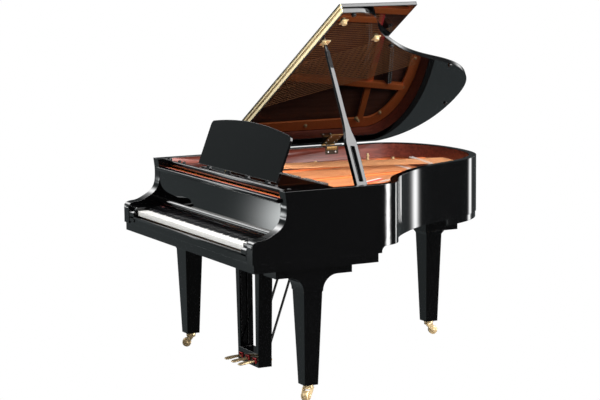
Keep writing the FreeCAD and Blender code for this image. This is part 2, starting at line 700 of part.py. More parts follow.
def sketch(body, name, role, corners):
    """Closed sketch on one of a body's own planes, with each corner bound to two expressions."""
    item = body.newObject("Sketcher::SketchObject", name)
    plane = next(piece for piece in body.Origin.OriginFeatures if piece.Role == role)
    item.AttachmentSupport = (plane, [""])
    item.MapMode = "FlatFace"
    count = len(corners)
    turns = [2 * math.pi * number / count for number in range(count)]
    dots = [Vector(math.cos(turn), math.sin(turn), 0) * size.case_width for turn in turns]
    for number in range(count):
        item.addGeometry(Part.LineSegment(dots[number], dots[(number + 1) % count]))
    for number in range(count):
        following = (number + 1) % count
        item.addConstraint(Sketcher.Constraint("Coincident", number, END_DOT, following, START_DOT))
    for number, pair in enumerate(corners):
        for kind, text in zip(("DistanceX", "DistanceY"), pair):
            start = dots[number].x if kind == "DistanceX" else dots[number].y
            fixed = Sketcher.Constraint(kind, SKETCH_ROOT, START_DOT, number, START_DOT, start)
            place_in = item.addConstraint(fixed)
            item.setExpression(f"Constraints[{place_in}]", link(text))
    return item


def pad(name, role, corners, length):
    """Body padded both ways from one of its planes."""
    body = doc.addObject("PartDesign::Body", name)
    outline = sketch(body, name + "_outline", role, corners)
    solid = body.newObject("PartDesign::Pad", name + "_pad")
    solid.Profile = outline
    solid.Midplane = True
    bind(solid, Length=length)
    return body


lip_low = "fall_top-fall_lip_high"
fall_front = "fall_face-fall_lip"
fall_board = pad("fall_board", "YZ_Plane", [
    (depth("fall_face"), "fall_level"),
    (depth("fall_face+fall_thick"), "fall_level"),
    (depth("fall_face+fall_thick"), "fall_top"),
    (depth(fall_front), "fall_top"),
    (depth(fall_front), lip_low),
    (depth("fall_face"), lip_low),
], "case_width-2*arm_wall-2*fall_gap")
along_x = Rotation(ALONG_Y, QUARTER_TURN)
fall_half = "(case_width/2-arm_wall-fall_gap)"
fall_end = (f"-{fall_half}", "fall_pivot", "fall_level", along_x)
fall_roll = rod("fall_roll_bar", "fall_roll", f"2*{fall_half}", *fall_end)
pin_end = (f"-{fall_half}-fall_pin_reach", *fall_end[1:])
fall_pins = rod("fall_pins", "fall_pin", f"2*({fall_half}+fall_pin_reach)", *pin_end)
keep(group("Part::MultiFuse", "fallboard", [fall_board, fall_roll, fall_pins]))

# Music shelf with its front rail and the bearings of the desk
shelf_half = "(case_width/2-arm_wall-fall_gap)"
shelf_top = "(shelf_rail_low+desk_rod)"
shelf_sides = (f"-{shelf_half}", shelf_half)
rail_reach = ("shelf_front-shelf_rail", "shelf_front")
shelf_pieces = [
    box("shelf_board", shelf_sides, ("shelf_front", "shelf_back"), (f"{shelf_top}-shelf_thick", shelf_top)),
    box("shelf_front_rail", shelf_sides, rail_reach, ("shelf_rail_low", "shelf_rail_top")),
]
for number, share in enumerate(BEARING_SHARES, 1):
    middle_x = f"{share}*{DESK_HALF}"
    sides = (f"{middle_x}-bearing_wide/2", f"{middle_x}+bearing_wide/2")
    reach = ("desk_axis-bearing_deep/2", "desk_axis+bearing_deep/2")
    shelf_pieces.append(box(f"bearing_{number}", sides, reach, (shelf_top, "desk_level+bearing_rise")))
bore_end = (f"-{DESK_HALF}", "desk_axis", "desk_level", along_x)
shelf_bore = rod("shelf_bore", "desk_rod+fit", f"2*{DESK_HALF}", *bore_end)
keep(cut("music_shelf", group("Part::MultiFuse", "shelf_solid", shelf_pieces), shelf_bore))


def make_desk():
    """Music desk with an arched top and rounded corners, on lugs round its pivot rod."""
    half, low = desk_half, size.desk_above
    high = low + size.desk_high
    corner = size.desk_corner
    front = -size.desk_ahead
    turn = corner * (1 - math.cos(ARC_MIDDLE))

    def dot(x, z):
        return Vector(x, front, z)

    left_arc = Part.Arc(dot(-half, high - corner), dot(-half + turn, high - turn), dot(-half + corner, high))
    arch = Part.Arc(dot(-half + corner, high), dot(0, high + size.desk_arch), dot(half - corner, high))
    right_arc = Part.Arc(dot(half - corner, high), dot(half - turn, high - turn), dot(half, high - corner))
    bottom = [dot(half, high - corner), dot(half, low), dot(-half, low), dot(-half, high - corner)]
    edges = [left_arc.toShape(), arch.toShape(), right_arc.toShape()]
    edges += [Part.LineSegment(a, b).toShape() for a, b in zip(bottom, bottom[1:])]
    board = Part.Face(Part.Wire(edges)).extrude(Vector(0, size.desk_thick, 0))
    reach = max(BEARING_SHARES) * half + size.bearing_wide / 2
    pieces = [column(size.desk_rod, Vector(-reach, 0, 0), Vector(reach, 0, 0))]
    for share in LUG_SHARES:
        x = share * half - size.lug_wide / 2
        ring = Part.makeCylinder(2 * size.desk_rod, size.lug_wide, Vector(x, 0, 0), ALONG_X)
        arm_start = Vector(x, front + size.desk_thick / 2, -size.desk_rod)
        arm = Part.makeBox(size.lug_wide, -front - size.desk_thick / 2, low + 2 * size.desk_rod, arm_start)
        pieces += [ring, arm]
    return board.fuse(pieces).removeSplitter()


desk_turn = Rotation(ALONG_X, -size.desk_lean)
feature("music_desk", make_desk(), Placement(Vector(0, back(size.desk_axis), size.desk_level), desk_turn))

# Lid: modelled shut, then turned open about the spine hinges
lid_under = size.rim_top + size.lid_gap
lid_top = lid_under + size.lid_thick
hinge_x = -size.case_width / 2 - size.butt_barrel - size.butt_side
hinge_z = size.rim_top + size.lid_gap / 2
open_lid = Placement(Vector(), Rotation(-ALONG_Y, size.lid_turn), Vector(hinge_x, 0, hinge_z))
edge = size.strip_gap + size.strip_leaf
strip_axis = Vector(0, back(size.lid_split), lid_top + size.strip_barrel + size.glue_line)
fold_flap = open_lid.multiply(Placement(Vector(), Rotation(ALONG_X, HALF_TURN), strip_axis))
lid_sides = (-size.case_width / 2, size.case_width / 2 + size.lid_overhang)


def make_lid():
    """Main lid over the case behind the split."""
    plan = slab(-size.lid_overhang, size.lid_split + edge, lid_under, lid_top)
    reach = (size.lid_split, size.case_length + size.lid_overhang + size.overrun)
    return plan.common(brick(lid_sides, reach, (lid_under, lid_top)))


feature("lid", make_lid(), open_lid)
flap_sides = (lid_sides[0] + size.flap_inset, lid_sides[1])
flap_reach = (size.flap_front, size.lid_split - edge)
feature("lid_flap", brick(flap_sides, flap_reach, (lid_top - size.flap_thick, lid_top)), fold_flap)


def strip_leaf(side):
    """Leaf of the long hinge: a plate on the edge and every second knuckle."""
    near, far = sorted((size.lid_split + side * size.strip_gap, size.lid_split + side * edge))
    left, right = flap_sides
    pieces = []
    count = int((right - left) // size.strip_knuckle)
    long = (right - left) / count
    for number in range(count):
        if number % 2 == (side > 0):
            continue
        start = left + number * long + size.strip_slit / 2
        end = left + (number + 1) * long - size.strip_slit / 2
        axis = Vector(start, strip_axis.y, strip_axis.z)
        pieces.append(column(size.strip_barrel, axis, axis + Vector(end - start, 0, 0)))
        pieces.append(brick((start, end), (near, far), (lid_top - size.strip_leaf, strip_axis.z)))
    plate = brick((left, right), (near, far), (lid_top - size.strip_drop, lid_top))
    leaf = plate.fuse(pieces)
    line = (Vector(left, strip_axis.y, strip_axis.z), Vector(right, strip_axis.y, strip_axis.z))
    if side > 0:
        return leaf.fuse(column(size.strip_pin, *line)).removeSplitter()
    return leaf.removeSplitter().cut(column(size.strip_pin + size.fit, *line))


feature("flap_hinge_lid", strip_leaf(1), open_lid)
feature("flap_hinge_flap", strip_leaf(-1), fold_flap)


def butt_hinge(at, on_lid):
    """Leaf of a spine hinge: the lid's has the middle knuckle, the rim's the outer ones and the pin."""
    spine = -size.case_width / 2
    long = size.butt_knuckle
    ends = (at - BUTT_KNUCKLES * long / 2, at + BUTT_KNUCKLES * long / 2)
    pieces = []
    for number in range(BUTT_KNUCKLES):
        if number % 2 == on_lid:
            continue
        first = ends[0] + number * long
        reach = (first + size.butt_slit / 2, first + long - size.butt_slit / 2)
        start = Vector(hinge_x, back(reach[0]), hinge_z)
        pieces.append(column(size.butt_barrel, start, start + Vector(0, reach[1] - reach[0], 0)))
        level = lid_under - size.butt_leaf if on_lid else size.rim_top
        pieces.append(brick((hinge_x, spine + size.butt_leaf), reach, (level, level + size.butt_leaf)))
    pin = (Vector(hinge_x, back(ends[0]), hinge_z), Vector(hinge_x, back(ends[1]), hinge_z))
    if on_lid:
        plate = brick((spine, spine + size.butt_lid_reach), ends, (lid_under - size.butt_leaf, lid_under))
        return plate.fuse(pieces).removeSplitter().cut(column(size.butt_pin + size.fit, *pin))
    inner = spine + size.rim_wall
    plate = brick((spine, inner + size.butt_leaf), ends, (size.rim_top, size.rim_top + size.butt_leaf))
    drop = brick((inner, inner + size.butt_leaf), ends, (size.rim_top - size.butt_rim_drop, size.rim_top))
    return plate.fuse(pieces + [drop, column(size.butt_pin, *pin)]).removeSplitter()


butt_depths = [along(share) for share in BUTT_DEPTH_SHARES]
feature("lid_hinges_rim", Part.makeCompound([butt_hinge(at, False) for at in butt_depths]))
feature("lid_hinges_lid", Part.makeCompound([butt_hinge(at, True) for at in butt_depths]), open_lid)

# Lid prop: its own frame has Z along the stick and X along the pivot pin, towards the treble side
prop_x = half_width - size.rim_wall - size.prop_stand
prop_foot = Vector(prop_x, back(size.prop_depth), size.prop_level)
cup_place = Vector(PROP_LID_SHARE * half_width, back(size.prop_lid_depth), lid_under)
prop_end = open_lid.multVec(cup_place - UP * (size.cup_plate + size.cup_seat))
stick_axis = (prop_end - prop_foot).normalize()
prop_long = (prop_end - prop_foot).Length
fold_turn = math.radians(size.prop_fold_turn)
folded_axis = Vector(-math.sin(fold_turn), math.cos(fold_turn), 0)
pin_axis = folded_axis.cross(stick_axis).normalize()
side_axis = stick_axis.cross(pin_axis)
prop_frame = Placement(Matrix(
    pin_axis.x, side_axis.x, stick_axis.x, prop_foot.x,
    pin_axis.y, side_axis.y, stick_axis.y, prop_foot.y,
    pin_axis.z, side_axis.z, stick_axis.z, prop_foot.z,
))


def make_prop():
    """Long prop: a slotted paddle on the pivot, a slim stick and a round tip."""
    half, thick = size.paddle_wide / 2, size.paddle_thick
    slim = size.stick_wide / 2
    shoulder = size.paddle_long + size.paddle_taper
    neck = prop_long - size.prop_tip_long
    left = -thick / 2
    side = [(half, 0), (half, size.paddle_long), (slim, shoulder), (slim, neck)]
    outline = [Vector(left, y, z) for y, z in side] + [Vector(left, -y, z) for y, z in reversed(side)]
    body = prism(outline, Vector(thick, 0, 0))
    body = body.fuse(Part.makeCylinder(half, thick, Vector(left, 0, 0), ALONG_X))
    tip = Part.makeCylinder(size.prop_tip, size.prop_tip_long, Vector(0, 0, neck))
    body = body.fuse(tip).removeSplitter()
    through = thick + 2 * size.overrun
    start = left - size.overrun
    slot_start = Vector(start, -size.slot_wide / 2, size.slot_low)
    slot = Part.makeBox(through, size.slot_wide, size.slot_high - size.slot_low, slot_start)
    bore = Part.makeCylinder(size.prop_pin + size.fit, through, Vector(start, 0, 0), ALONG_X)
    pin_level = size.slot_low + size.short_end + size.glue_line
    pin_start = Vector(0, -size.slot_wide / 2, pin_level)
    pin = column(size.short_pin, pin_start, pin_start + ALONG_Y * size.slot_wide)
    return body.cut(slot).cut(bore).fuse(pin)


def make_short_prop():
    """Short prop that lies in the long prop's slot and swings out on its own pin."""
    level = size.slot_low + size.short_end + size.glue_line
    wide = size.short_wide
    start = Vector(0, -wide / 2, level)
    end = Part.makeCylinder(size.short_thick / 2, wide, start, ALONG_Y)
    high = size.slot_high - size.short_end - level
    stick = Part.makeBox(size.short_thick, wide, high, Vector(-size.short_thick / 2, -wide / 2, level))
    bore = Part.makeCylinder(size.short_pin + size.fit, wide, start, ALONG_Y)
    return stick.fuse(end).removeSplitter().cut(bore)


def make_bracket():
    """Pivot pin and boss of the prop on a plate screwed to the inside of the treble rim."""
    wall = size.case_width / 2 - size.rim_wall
    face = size.paddle_thick / 2 + size.glue_line
    near = prop_foot + pin_axis * face
    boss = column(size.bracket_boss, near, near + pin_axis * size.bracket_long)
    pin_start = prop_foot - pin_axis * (face - size.glue_line)
    pin = column(size.prop_pin, pin_start, near + pin_axis * size.overrun)
    at = size.prop_depth + (wall - prop_x) * pin_axis.y / pin_axis.x
    low, high = size.prop_level - size.bracket_high / 2, size.prop_level + size.bracket_high / 2
    room = brick((-wall, wall), (0, size.case_length), (low, high))
    reach = (at - size.bracket_long / 2, at + size.bracket_long / 2)
    plate = brick((wall - size.bracket_plate, wall), reach, (low, high))
    return boss.common(room).fuse([pin, plate]).removeSplitter()


feature("lid_prop", make_prop(), prop_frame)
feature("short_prop", make_short_prop(), prop_frame)
feature("prop_bracket", make_bracket())


def make_prop_cup():
    """Brass plate under the lid with a wall round the prop's tip, open towards the tail."""
    side = size.cup_side / 2
    foot = cup_place - UP * (size.cup_plate + size.cup_high)
    plate = Part.makeBox(2 * side, 2 * side, size.cup_plate, cup_place - Vector(side, side, size.cup_plate))
    wall = Part.makeCylinder(size.cup_bore + size.cup_wall, size.cup_high, foot)
    wall = wall.cut(Part.makeCylinder(size.cup_bore, size.cup_high, foot))
    mouth = Part.makeBox(2 * side, side, size.cup_high, foot - Vector(side, 0, 0))
    return plate.fuse(wall.cut(mouth)).removeSplitter()


feature("prop_cup", make_prop_cup(), open_lid)

# Legs: a tapered post under a block with a corbel at each end
upright = Rotation(ALONG_X, QUARTER_TURN)


def leg(name, x, d, top, block_high, block_wide, ahead, behind, corbel, wide, deep):
    """Leg under a given height, with its block reaching ahead of it and behind it over two corbels."""
    post = doc.addObject("Part::Wedge", name + "_post")
    bind(post, Ymin="0", Ymax=f"{top}-{block_high}-caster_high",
         Xmin="-leg_foot_x/2", Xmax="leg_foot_x/2", Zmin="-leg_foot_y/2", Zmax="leg_foot_y/2",
         X2min=f"-{wide}/2", X2max=f"{wide}/2", Z2min=f"-{deep}/2", Z2max=f"{deep}/2")
    place(post, x, d, "caster_high", upright)
    sides = (f"{x}-{wide}/2", f"{x}+{wide}/2")
    block_low = f"{top}-{block_high}"
    block_sides = (f"{x}-{block_wide}/2", f"{x}+{block_wide}/2")
    block = box(name + "_block", block_sides, (f"{d}-{ahead}", f"{d}+{behind}"), (block_low, top))
    arch_low = f"{block_low}-{corbel}"
    reach = (f"{d}-{deep}/2-{corbel}", f"{d}+{deep}/2+{corbel}")
    haunch = box(name + "_haunch", sides, reach, (arch_low, block_low))
    hollows = []
    for end, at in zip(("front", "back"), reach):
        start = (f"{x}-{wide}/2-overrun", at, arch_low, along_x)
        hollows.append(rod(f"{name}_{end}_hollow", corbel, f"{wide}+2*overrun", *start))
    corbels = cut(name + "_corbels", haunch, group("Part::Compound", name + "_hollows", hollows))
    return keep(group("Part::MultiFuse", name, [post, block, corbels]))


front_block = ("(bed_top-bed_thick)", "leg_block", "leg_top_x", "leg_block_front", "leg_block_back")
front_top = ("corbel", "leg_top_x", "leg_top_y")
leg("bass_leg", f"-{LEG_X}", "leg_depth", *front_block, *front_top)
leg("treble_leg", LEG_X, "leg_depth", *front_block, *front_top)
tail_block = ("rim_foot", "tail_block", "tail_block_wide", "tail_block_front", "tail_block_back")
tail_top = ("tail_corbel", "tail_top_x", "tail_top_y")
leg("tail_leg", TAIL_LEG_X, TAIL_LEG_DEPTH, *tail_block, *tail_top)

# Casters: a cup under each leg, a fork that swivels in it and a wheel on the fork's axle
CASTERS = {
    "bass": (-leg_x, size.leg_depth, size.bass_turn),
    "treble": (leg_x, size.leg_depth, size.treble_turn),
    "tail": (tail_leg_x, tail_leg_depth, size.tail_turn),
}


def make_fork():
    """Fork with its stem and axle, the swivel axis at the origin."""
    cup_low = size.caster_high - size.caster_cup
    top = cup_low - size.glue_line
    inner = size.wheel_wide / 2 + size.fork_gap
    outer = inner + size.fork_side
    stem = Part.makeCylinder(size.stem_radius, size.stem_long + size.glue_line, Vector(0, 0, top))
    reach = size.trail + size.fork_cheek / 2
    bridge_start = Vector(-outer, -reach, top - size.fork_bridge)
    pieces = [Part.makeBox(2 * outer, reach + size.stem_radius * 2, size.fork_bridge, bridge_start)]
    low = size.wheel_radius - size.fork_cheek / 2
    for side in (-outer, inner):
        pieces.append(Part.makeBox(size.fork_side, size.fork_cheek, top - low, Vector(side, -reach, low)))
    axle_at = Vector(-outer, -size.trail, size.wheel_radius)
    pieces.append(Part.makeCylinder(size.axle_radius, 2 * outer, axle_at, ALONG_X))
    return stem.fuse(pieces).removeSplitter()


def make_wheel():
    """Wheel with rounded rims and a running bore."""
    start = Vector(-size.wheel_wide / 2, -size.trail, size.wheel_radius)
    tyre = Part.makeCylinder(size.wheel_radius, size.wheel_wide, start, ALONG_X)
    rims = [rim_edge for rim_edge in tyre.Edges if rim_edge.Closed]
    tyre = tyre.makeFillet(size.wheel_round, rims)
    return tyre.cut(Part.makeCylinder(size.axle_radius + size.fit, size.wheel_wide, start, ALONG_X))


cups = []
for corner, (caster_x, caster_depth, caster_turn) in CASTERS.items():
    at = Vector(caster_x, back(caster_depth), 0)
    foot = at + UP * (size.caster_high - size.caster_cup)
    cup = Part.makeCylinder(size.cup_radius, size.caster_cup, foot)
    cups.append(cup.cut(Part.makeCylinder(size.stem_radius + size.fit, size.stem_long + size.fit, foot)))
    swivel = Placement(at, Rotation(UP, caster_turn))
    feature(f"{corner}_caster_fork", make_fork(), swivel)
    feature(f"{corner}_caster_wheel", make_wheel(), swivel)
feature("caster_cups", Part.makeCompound(cups))

# Pedal lyre: two pillars between a head block and a box with a slot for each pedal
lyre_back = "lyre_front+lyre_deep"
under_bed = "(bed_top-bed_thick)"
lyre_sides, lyre_span = ("-lyre_half", "lyre_half"), ("lyre_low", "lyre_box_top")
lyre_block = box("lyre_block", lyre_sides, ("lyre_front", lyre_back), lyre_span)
slots = []
for number, pedal in enumerate(PEDALS, -1):
    middle_x = f"{number}*pedal_pitch"
    sides = (f"{middle_x}-pedal_wide/2-slot_side", f"{middle_x}+pedal_wide/2+slot_side")
    levels = ("pedal_level-slot_rise", "pedal_level+slot_rise")
    slots.append(box(f"{pedal}_slot", sides, ("lyre_front-overrun", f"{lyre_back}+overrun"), levels))
lyre_box = cut("lyre_box", lyre_block, group("Part::Compound", "pedal_slots", slots))
axle_start = ("-lyre_half", "pedal_pivot", "pedal_level", along_x)
pedal_axle = rod("pedal_axle", "pedal_pin", "2*lyre_half", *axle_start)
lyre_parts = [group("Part::MultiFuse", "lyre_pedal_box", [lyre_box, pedal_axle])]
for side, sign in (("bass", "-1"), ("treble", "1")):
    pillar = doc.addObject("Part::Wedge", f"{side}_pillar")
    feet = ("lyre_half-pillar_foot", "lyre_half")
    heads = ("pillar_out-pillar_head", "pillar_out")
    if side == "bass":
        feet = tuple(f"-({text})" for text in reversed(feet))
        heads = tuple(f"-({text})" for text in reversed(heads))
    bind(pillar, Ymin="0", Ymax=f"{under_bed}-lyre_head-lyre_box_top", Xmin=feet[0], Xmax=feet[1],
         X2min=heads[0], X2max=heads[1], Zmin="0", Zmax="lyre_deep", Z2min="0", Z2max="lyre_deep")
    lyre_parts.append(place(pillar, "0", lyre_back, "lyre_box_top", upright))
head_sides = ("-lyre_head_half", "lyre_head_half")
head_span = (f"{under_bed}-lyre_head", under_bed)
lyre_parts.append(box("lyre_head", head_sides, ("lyre_front", lyre_back), head_span))
keep(group("Part::Compound", "pedal_lyre", lyre_parts))


def make_braces():
    """Two slanted braces from the back of the lyre's pillars to the keybed."""
    near = size.lyre_front + size.lyre_deep
    bed_low = size.bed_top - size.bed_thick
    room = brick((-size.case_width, size.case_width), (near, size.bed_depth), (0, bed_low))
    braces = []
    for x in (-size.brace_x, size.brace_x):
        low = Vector(x, back(near), size.brace_low)
        high = Vector(x, back(size.brace_back), bed_low)
        excess = (high - low).normalize() * size.brace_low
        braces.append(column(size.brace_radius, low - excess, high + excess).common(room))
    return Part.makeCompound(braces)


feature("lyre_braces", make_braces())

for number, pedal in enumerate(PEDALS, -1):
    name = f"{pedal}_pedal"
    middle_x = f"{number}*pedal_pitch"
    toe = "lyre_front-pedal_tip+pedal_toe"
    levels = ("pedal_level-pedal_thick/2", "pedal_level+pedal_thick/2")
    sides = (f"{middle_x}-pedal_wide/2", f"{middle_x}+pedal_wide/2")
    lever = box(name + "_lever", sides, (toe, "pedal_heel"), levels)
    round_toe = rod(name + "_toe", "pedal_toe", "pedal_thick", middle_x, toe, levels[0])
    bar = group("Part::MultiFuse", name + "_bar", [lever, round_toe])
    bore_start = (f"{middle_x}-pedal_wide/2-overrun", "pedal_pivot", "pedal_level", along_x)
    bore = rod(name + "_bore", "pedal_pin+fit", "pedal_wide+2*overrun", *bore_start)
    keep(cut(name, bar, bore))
    rod_name = f"{pedal}_rod"
    rod_foot = "pedal_level+pedal_thick/2+rod_seat"
    point = doc.addObject("Part::Cone", rod_name + "_point")
    bind(point, Radius1="rod_point", Radius2="rod_radius", Height="rod_radius")
    place(point, middle_x, "rod_depth", rod_foot)
    shaft_long = f"rod_top-({rod_foot})-rod_radius"
    shaft_start = (middle_x, "rod_depth", f"{rod_foot}+rod_radius")
    shaft = rod(rod_name + "_shaft", "rod_radius", shaft_long, *shaft_start)
    keep(group("Part::MultiFuse", rod_name, [point, shaft]))

doc.recompute()
faults = [item.Name for item in doc.Objects if {"Invalid", "Error"} & set(item.State)]
for item in nodes:
    if item.Shape.isNull() or not item.Shape.isValid() or not item.Shape.Solids:
        faults.append(item.Name)
if faults:
    raise RuntimeError("failed objects: " + ", ".join(faults))
os.makedirs("parts", exist_ok=True)
for item in nodes:
    item.Shape.exportStep(f"parts/{item.Label}.step")
    print(f"{item.Label}: {len(item.Shape.Solids)} solids, {item.Shape.Volume / CUBIC_MM_PER_CM:.1f} cm3")
print(len(nodes), "sub-parts")
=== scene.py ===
"""Finish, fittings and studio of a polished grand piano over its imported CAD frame."""

import logging
import math
from dataclasses import dataclass
from enum import Enum
from typing import Callable, Iterable, Sequence

import bpy
import numpy as np
from mathutils import Matrix, Vector


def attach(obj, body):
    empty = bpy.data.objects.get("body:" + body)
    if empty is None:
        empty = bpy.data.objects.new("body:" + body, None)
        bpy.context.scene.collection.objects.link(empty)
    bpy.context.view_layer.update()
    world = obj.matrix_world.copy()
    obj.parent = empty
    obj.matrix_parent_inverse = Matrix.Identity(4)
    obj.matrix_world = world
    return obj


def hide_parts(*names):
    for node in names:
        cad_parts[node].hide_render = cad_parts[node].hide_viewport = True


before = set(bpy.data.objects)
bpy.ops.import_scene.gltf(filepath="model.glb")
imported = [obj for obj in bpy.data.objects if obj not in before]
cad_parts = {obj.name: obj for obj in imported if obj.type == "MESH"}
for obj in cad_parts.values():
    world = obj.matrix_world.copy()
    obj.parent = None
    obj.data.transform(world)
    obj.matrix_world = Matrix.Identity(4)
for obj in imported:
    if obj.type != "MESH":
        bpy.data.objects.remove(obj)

Shape = bpy.types.Object
Socket = bpy.types.NodeSocket
Inputs = dict[str | int, object]
Colour = tuple[float, float, float]
Spot = tuple[float, float]

LOG = logging.getLogger("piano")
DEPTH_SHIFT = -0.851  # Y of the key slip's front
WHITE = (1.0, 1.0, 1.0, 1.0)
ORIGIN = Vector((0.0, 0.0, 0.0))
RIGHT = Vector((1.0, 0.0, 0.0))
UP = Vector((0.0, 0.0, 1.0))


class Body(str, Enum):
    """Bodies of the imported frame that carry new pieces."""

    CASE = "case"
    LID = "lid_body"
    FLAP = "flap_body"
    FALL = "fallboard_body"
    SHELF = "shelf_body"
    PROP = "prop_body"
    SHORT_PROP = "short_prop_body"
    ACTION = "action_body"
    DAMPERS = "damper_body"


class Slot(str, Enum):
    """Material slots of the record that new pieces name."""

    LACQUER = "black_lacquer"
    WOOD = "case_wood"
    PLATE = "gold_plate"
    STEEL = "steel_wire"
    FELT = "felt"
    BLACKS = "black_tops"
    BRASS = "brass"


class Family(Enum):
    """Ways in which a finish is shaded."""

    LACQUER = "lacquer"
    METAL = "metal"
    PAINT = "paint"
    WOOD = "wood"
    FELT = "felt"
    WOUND = "wound"
    KEY = "key"


@dataclass(frozen=True)
class Finish:
    """Look of one material.

    Args:
        name: Name of the material.
        family: Way in which it is shaded.
        colour: Main linear colour.
        second: Linear colour of its grain, nap or wear; on the strings, of painted reflection streaks.
        rough: Mean roughness.
        spread: How far the roughness varies.
        scale: Size of its pattern, in patterns per metre.
        edge: Radius of its softened edges in metres.
        metal: Share of metal.
    """

    name: str
    family: Family
    colour: Colour
    second: Colour
    rough: float
    spread: float
    scale: float
    edge: float
    metal: float = 0.0


LACQUER = Finish("Black lacquer", Family.LACQUER, (0.0007, 0.0007, 0.0008), (0.0012, 0.0012, 0.0013),
                 0.025, 0.01, 6.0, 0.0025)
ROUND_LACQUER = Finish("Rounded lacquer", Family.LACQUER, (0.0007, 0.0007, 0.0008), (0.0012, 0.0012, 0.0013),
                       0.025, 0.01, 6.0, 0.008)
SATIN_BLACK = Finish("Satin black", Family.LACQUER, (0.006, 0.006, 0.006), (0.012, 0.012, 0.012),
                     0.28, 0.05, 30.0, 0.001)
BRASS = Finish("Polished brass", Family.METAL, (0.80, 0.62, 0.36), (0.62, 0.44, 0.22),
               0.30, 0.06, 60.0, 0.0008, 0.55)
# Partly painted highlight: the flap hinge's brass tone is its own, but it is paled towards cream and made
# mostly diffuse to stand in for the bright reflection of polished brass.
PALE_BRASS = Finish("Pale brass with painted sheen", Family.METAL, (0.93, 0.82, 0.53), (0.78, 0.60, 0.32),
                    0.30, 0.06, 260.0, 0.0008, 0.35)
OLD_BRASS = Finish("Old brass", Family.METAL, (0.46, 0.27, 0.09), (0.06, 0.035, 0.012),
                   0.34, 0.08, 160.0, 0.0008, 0.7)
BRONZE = Finish("Dark bronze", Family.METAL, (0.030, 0.020, 0.014), (0.060, 0.040, 0.024),
                0.32, 0.06, 120.0, 0.0008, 0.6)
STEEL = Finish("Bright wire", Family.METAL, (0.72, 0.70, 0.67), (0.45, 0.42, 0.38),
               0.24, 0.05, 120.0, 0.0004, 1.0)
# Painted reflection: the steel strings are tinted orange to stand in for the gold plate they mirror. The
# darker second colour, mixed in by the noise mask, paints reflection streaks along them.
STRING = Finish("String wire with painted plate reflection", Family.METAL, (0.56, 0.225, 0.085), (0.32, 0.110, 0.045),
                0.34, 0.05, 16.0, 0.0004, 0.7)
PIN = Finish("Tuning pin", Family.METAL, (0.10, 0.08, 0.07), (0.16, 0.12, 0.10),
             0.38, 0.05, 120.0, 0.0004, 0.8)
NICKEL = Finish("Bright nickel", Family.METAL, (0.85, 0.85, 0.83), (0.70, 0.70, 0.68),
                0.26, 0.05, 80.0, 0.0006, 0.5)
COPPER = Finish("Wound copper", Family.WOUND, (0.66, 0.31, 0.15), (0.36, 0.15, 0.06),
                0.32, 0.06, 900.0, 0.0004, 1.0)
PLATE_GOLD = Finish("Plate gold", Family.PAINT, (0.90, 0.23, 0.060), (0.66, 0.145, 0.036),
                    0.34, 0.05, 90.0, 0.004, 0.35)
STRETCHER = Finish("Stretcher lacquer", Family.PAINT, (0.85, 0.26, 0.05), (0.30, 0.02, 0.012),
                   0.16, 0.04, 14.0, 0.001)
SPRUCE = Finish("Spruce", Family.WOOD, (0.13, 0.050, 0.032), (0.085, 0.031, 0.019), 0.36, 0.05, 70.0, 0.0006)
MAHOGANY = Finish("Mahogany veneer", Family.WOOD, (0.20, 0.045, 0.028), (0.10, 0.020, 0.013),
                  0.42, 0.05, 80.0, 0.0008)
MAPLE = Finish("Maple", Family.WOOD, (0.52, 0.34, 0.18), (0.36, 0.21, 0.10), 0.45, 0.06, 46.0, 0.001)
RED_FELT = Finish("Red felt", Family.FELT, (0.36, 0.012, 0.016), (0.20, 0.006, 0.008),
                  0.95, 0.02, 600.0, 0.0008)
BRIGHT_FELT = Finish("Bright red felt", Family.FELT, (0.62, 0.02, 0.025), (0.45, 0.012, 0.016),
                     0.95, 0.02, 600.0, 0.0008)
PALE_FELT = Finish("Pale felt", Family.FELT, (0.72, 0.68, 0.58), (0.52, 0.47, 0.38),
                   0.95, 0.02, 500.0, 0.0015)
IVORY = Finish("White key tops", Family.KEY, (0.86, 0.85, 0.81), (0.62, 0.43, 0.24), 0.12, 0.03, 50.0, 0.0007)
EBONY = Finish("Black key tops", Family.KEY, (0.003, 0.003, 0.0035), (0.50, 0.34, 0.18),
               0.10, 0.02, 50.0, 0.0010)

NODE_FINISHES: dict[Finish, Sequence[str]] = {
    LACQUER: ("rim", "key_slip", "key_blocks", "keybed", "fallboard", "music_shelf", "music_desk", "lid_prop",
              "short_prop", "bass_leg", "treble_leg", "tail_leg", "pedal_lyre"),
    ROUND_LACQUER: ("lid", "lid_flap"),
    SATIN_BLACK: ("dampers", "lyre_braces", "soft_rod", "sostenuto_rod", "damper_rod"),
    MAPLE: ("inner_rim", "back_posts", "pinblock", "key_frame"),
    SPRUCE: ("soundboard",),
    PLATE_GOLD: ("iron_plate",),
    PIN: ("tuning_pins",),
    STRING: ("treble_strings",),
    COPPER: ("bass_strings",),
    PALE_FELT: ("hammers",),
    IVORY: ("white_keys",),
    EBONY: ("black_keys",),
    PALE_BRASS: ("flap_hinge_lid", "flap_hinge_flap"),
    BRONZE: ("lid_hinges_rim",),
    OLD_BRASS: ("lid_hinges_lid",),
}


def depth(value: float) -> float:
    """Y of a depth behind the key slip's front.

    Args:
        value: Depth in metres.

    Returns:
        The Y in metres.
    """
    return value + DEPTH_SHIFT


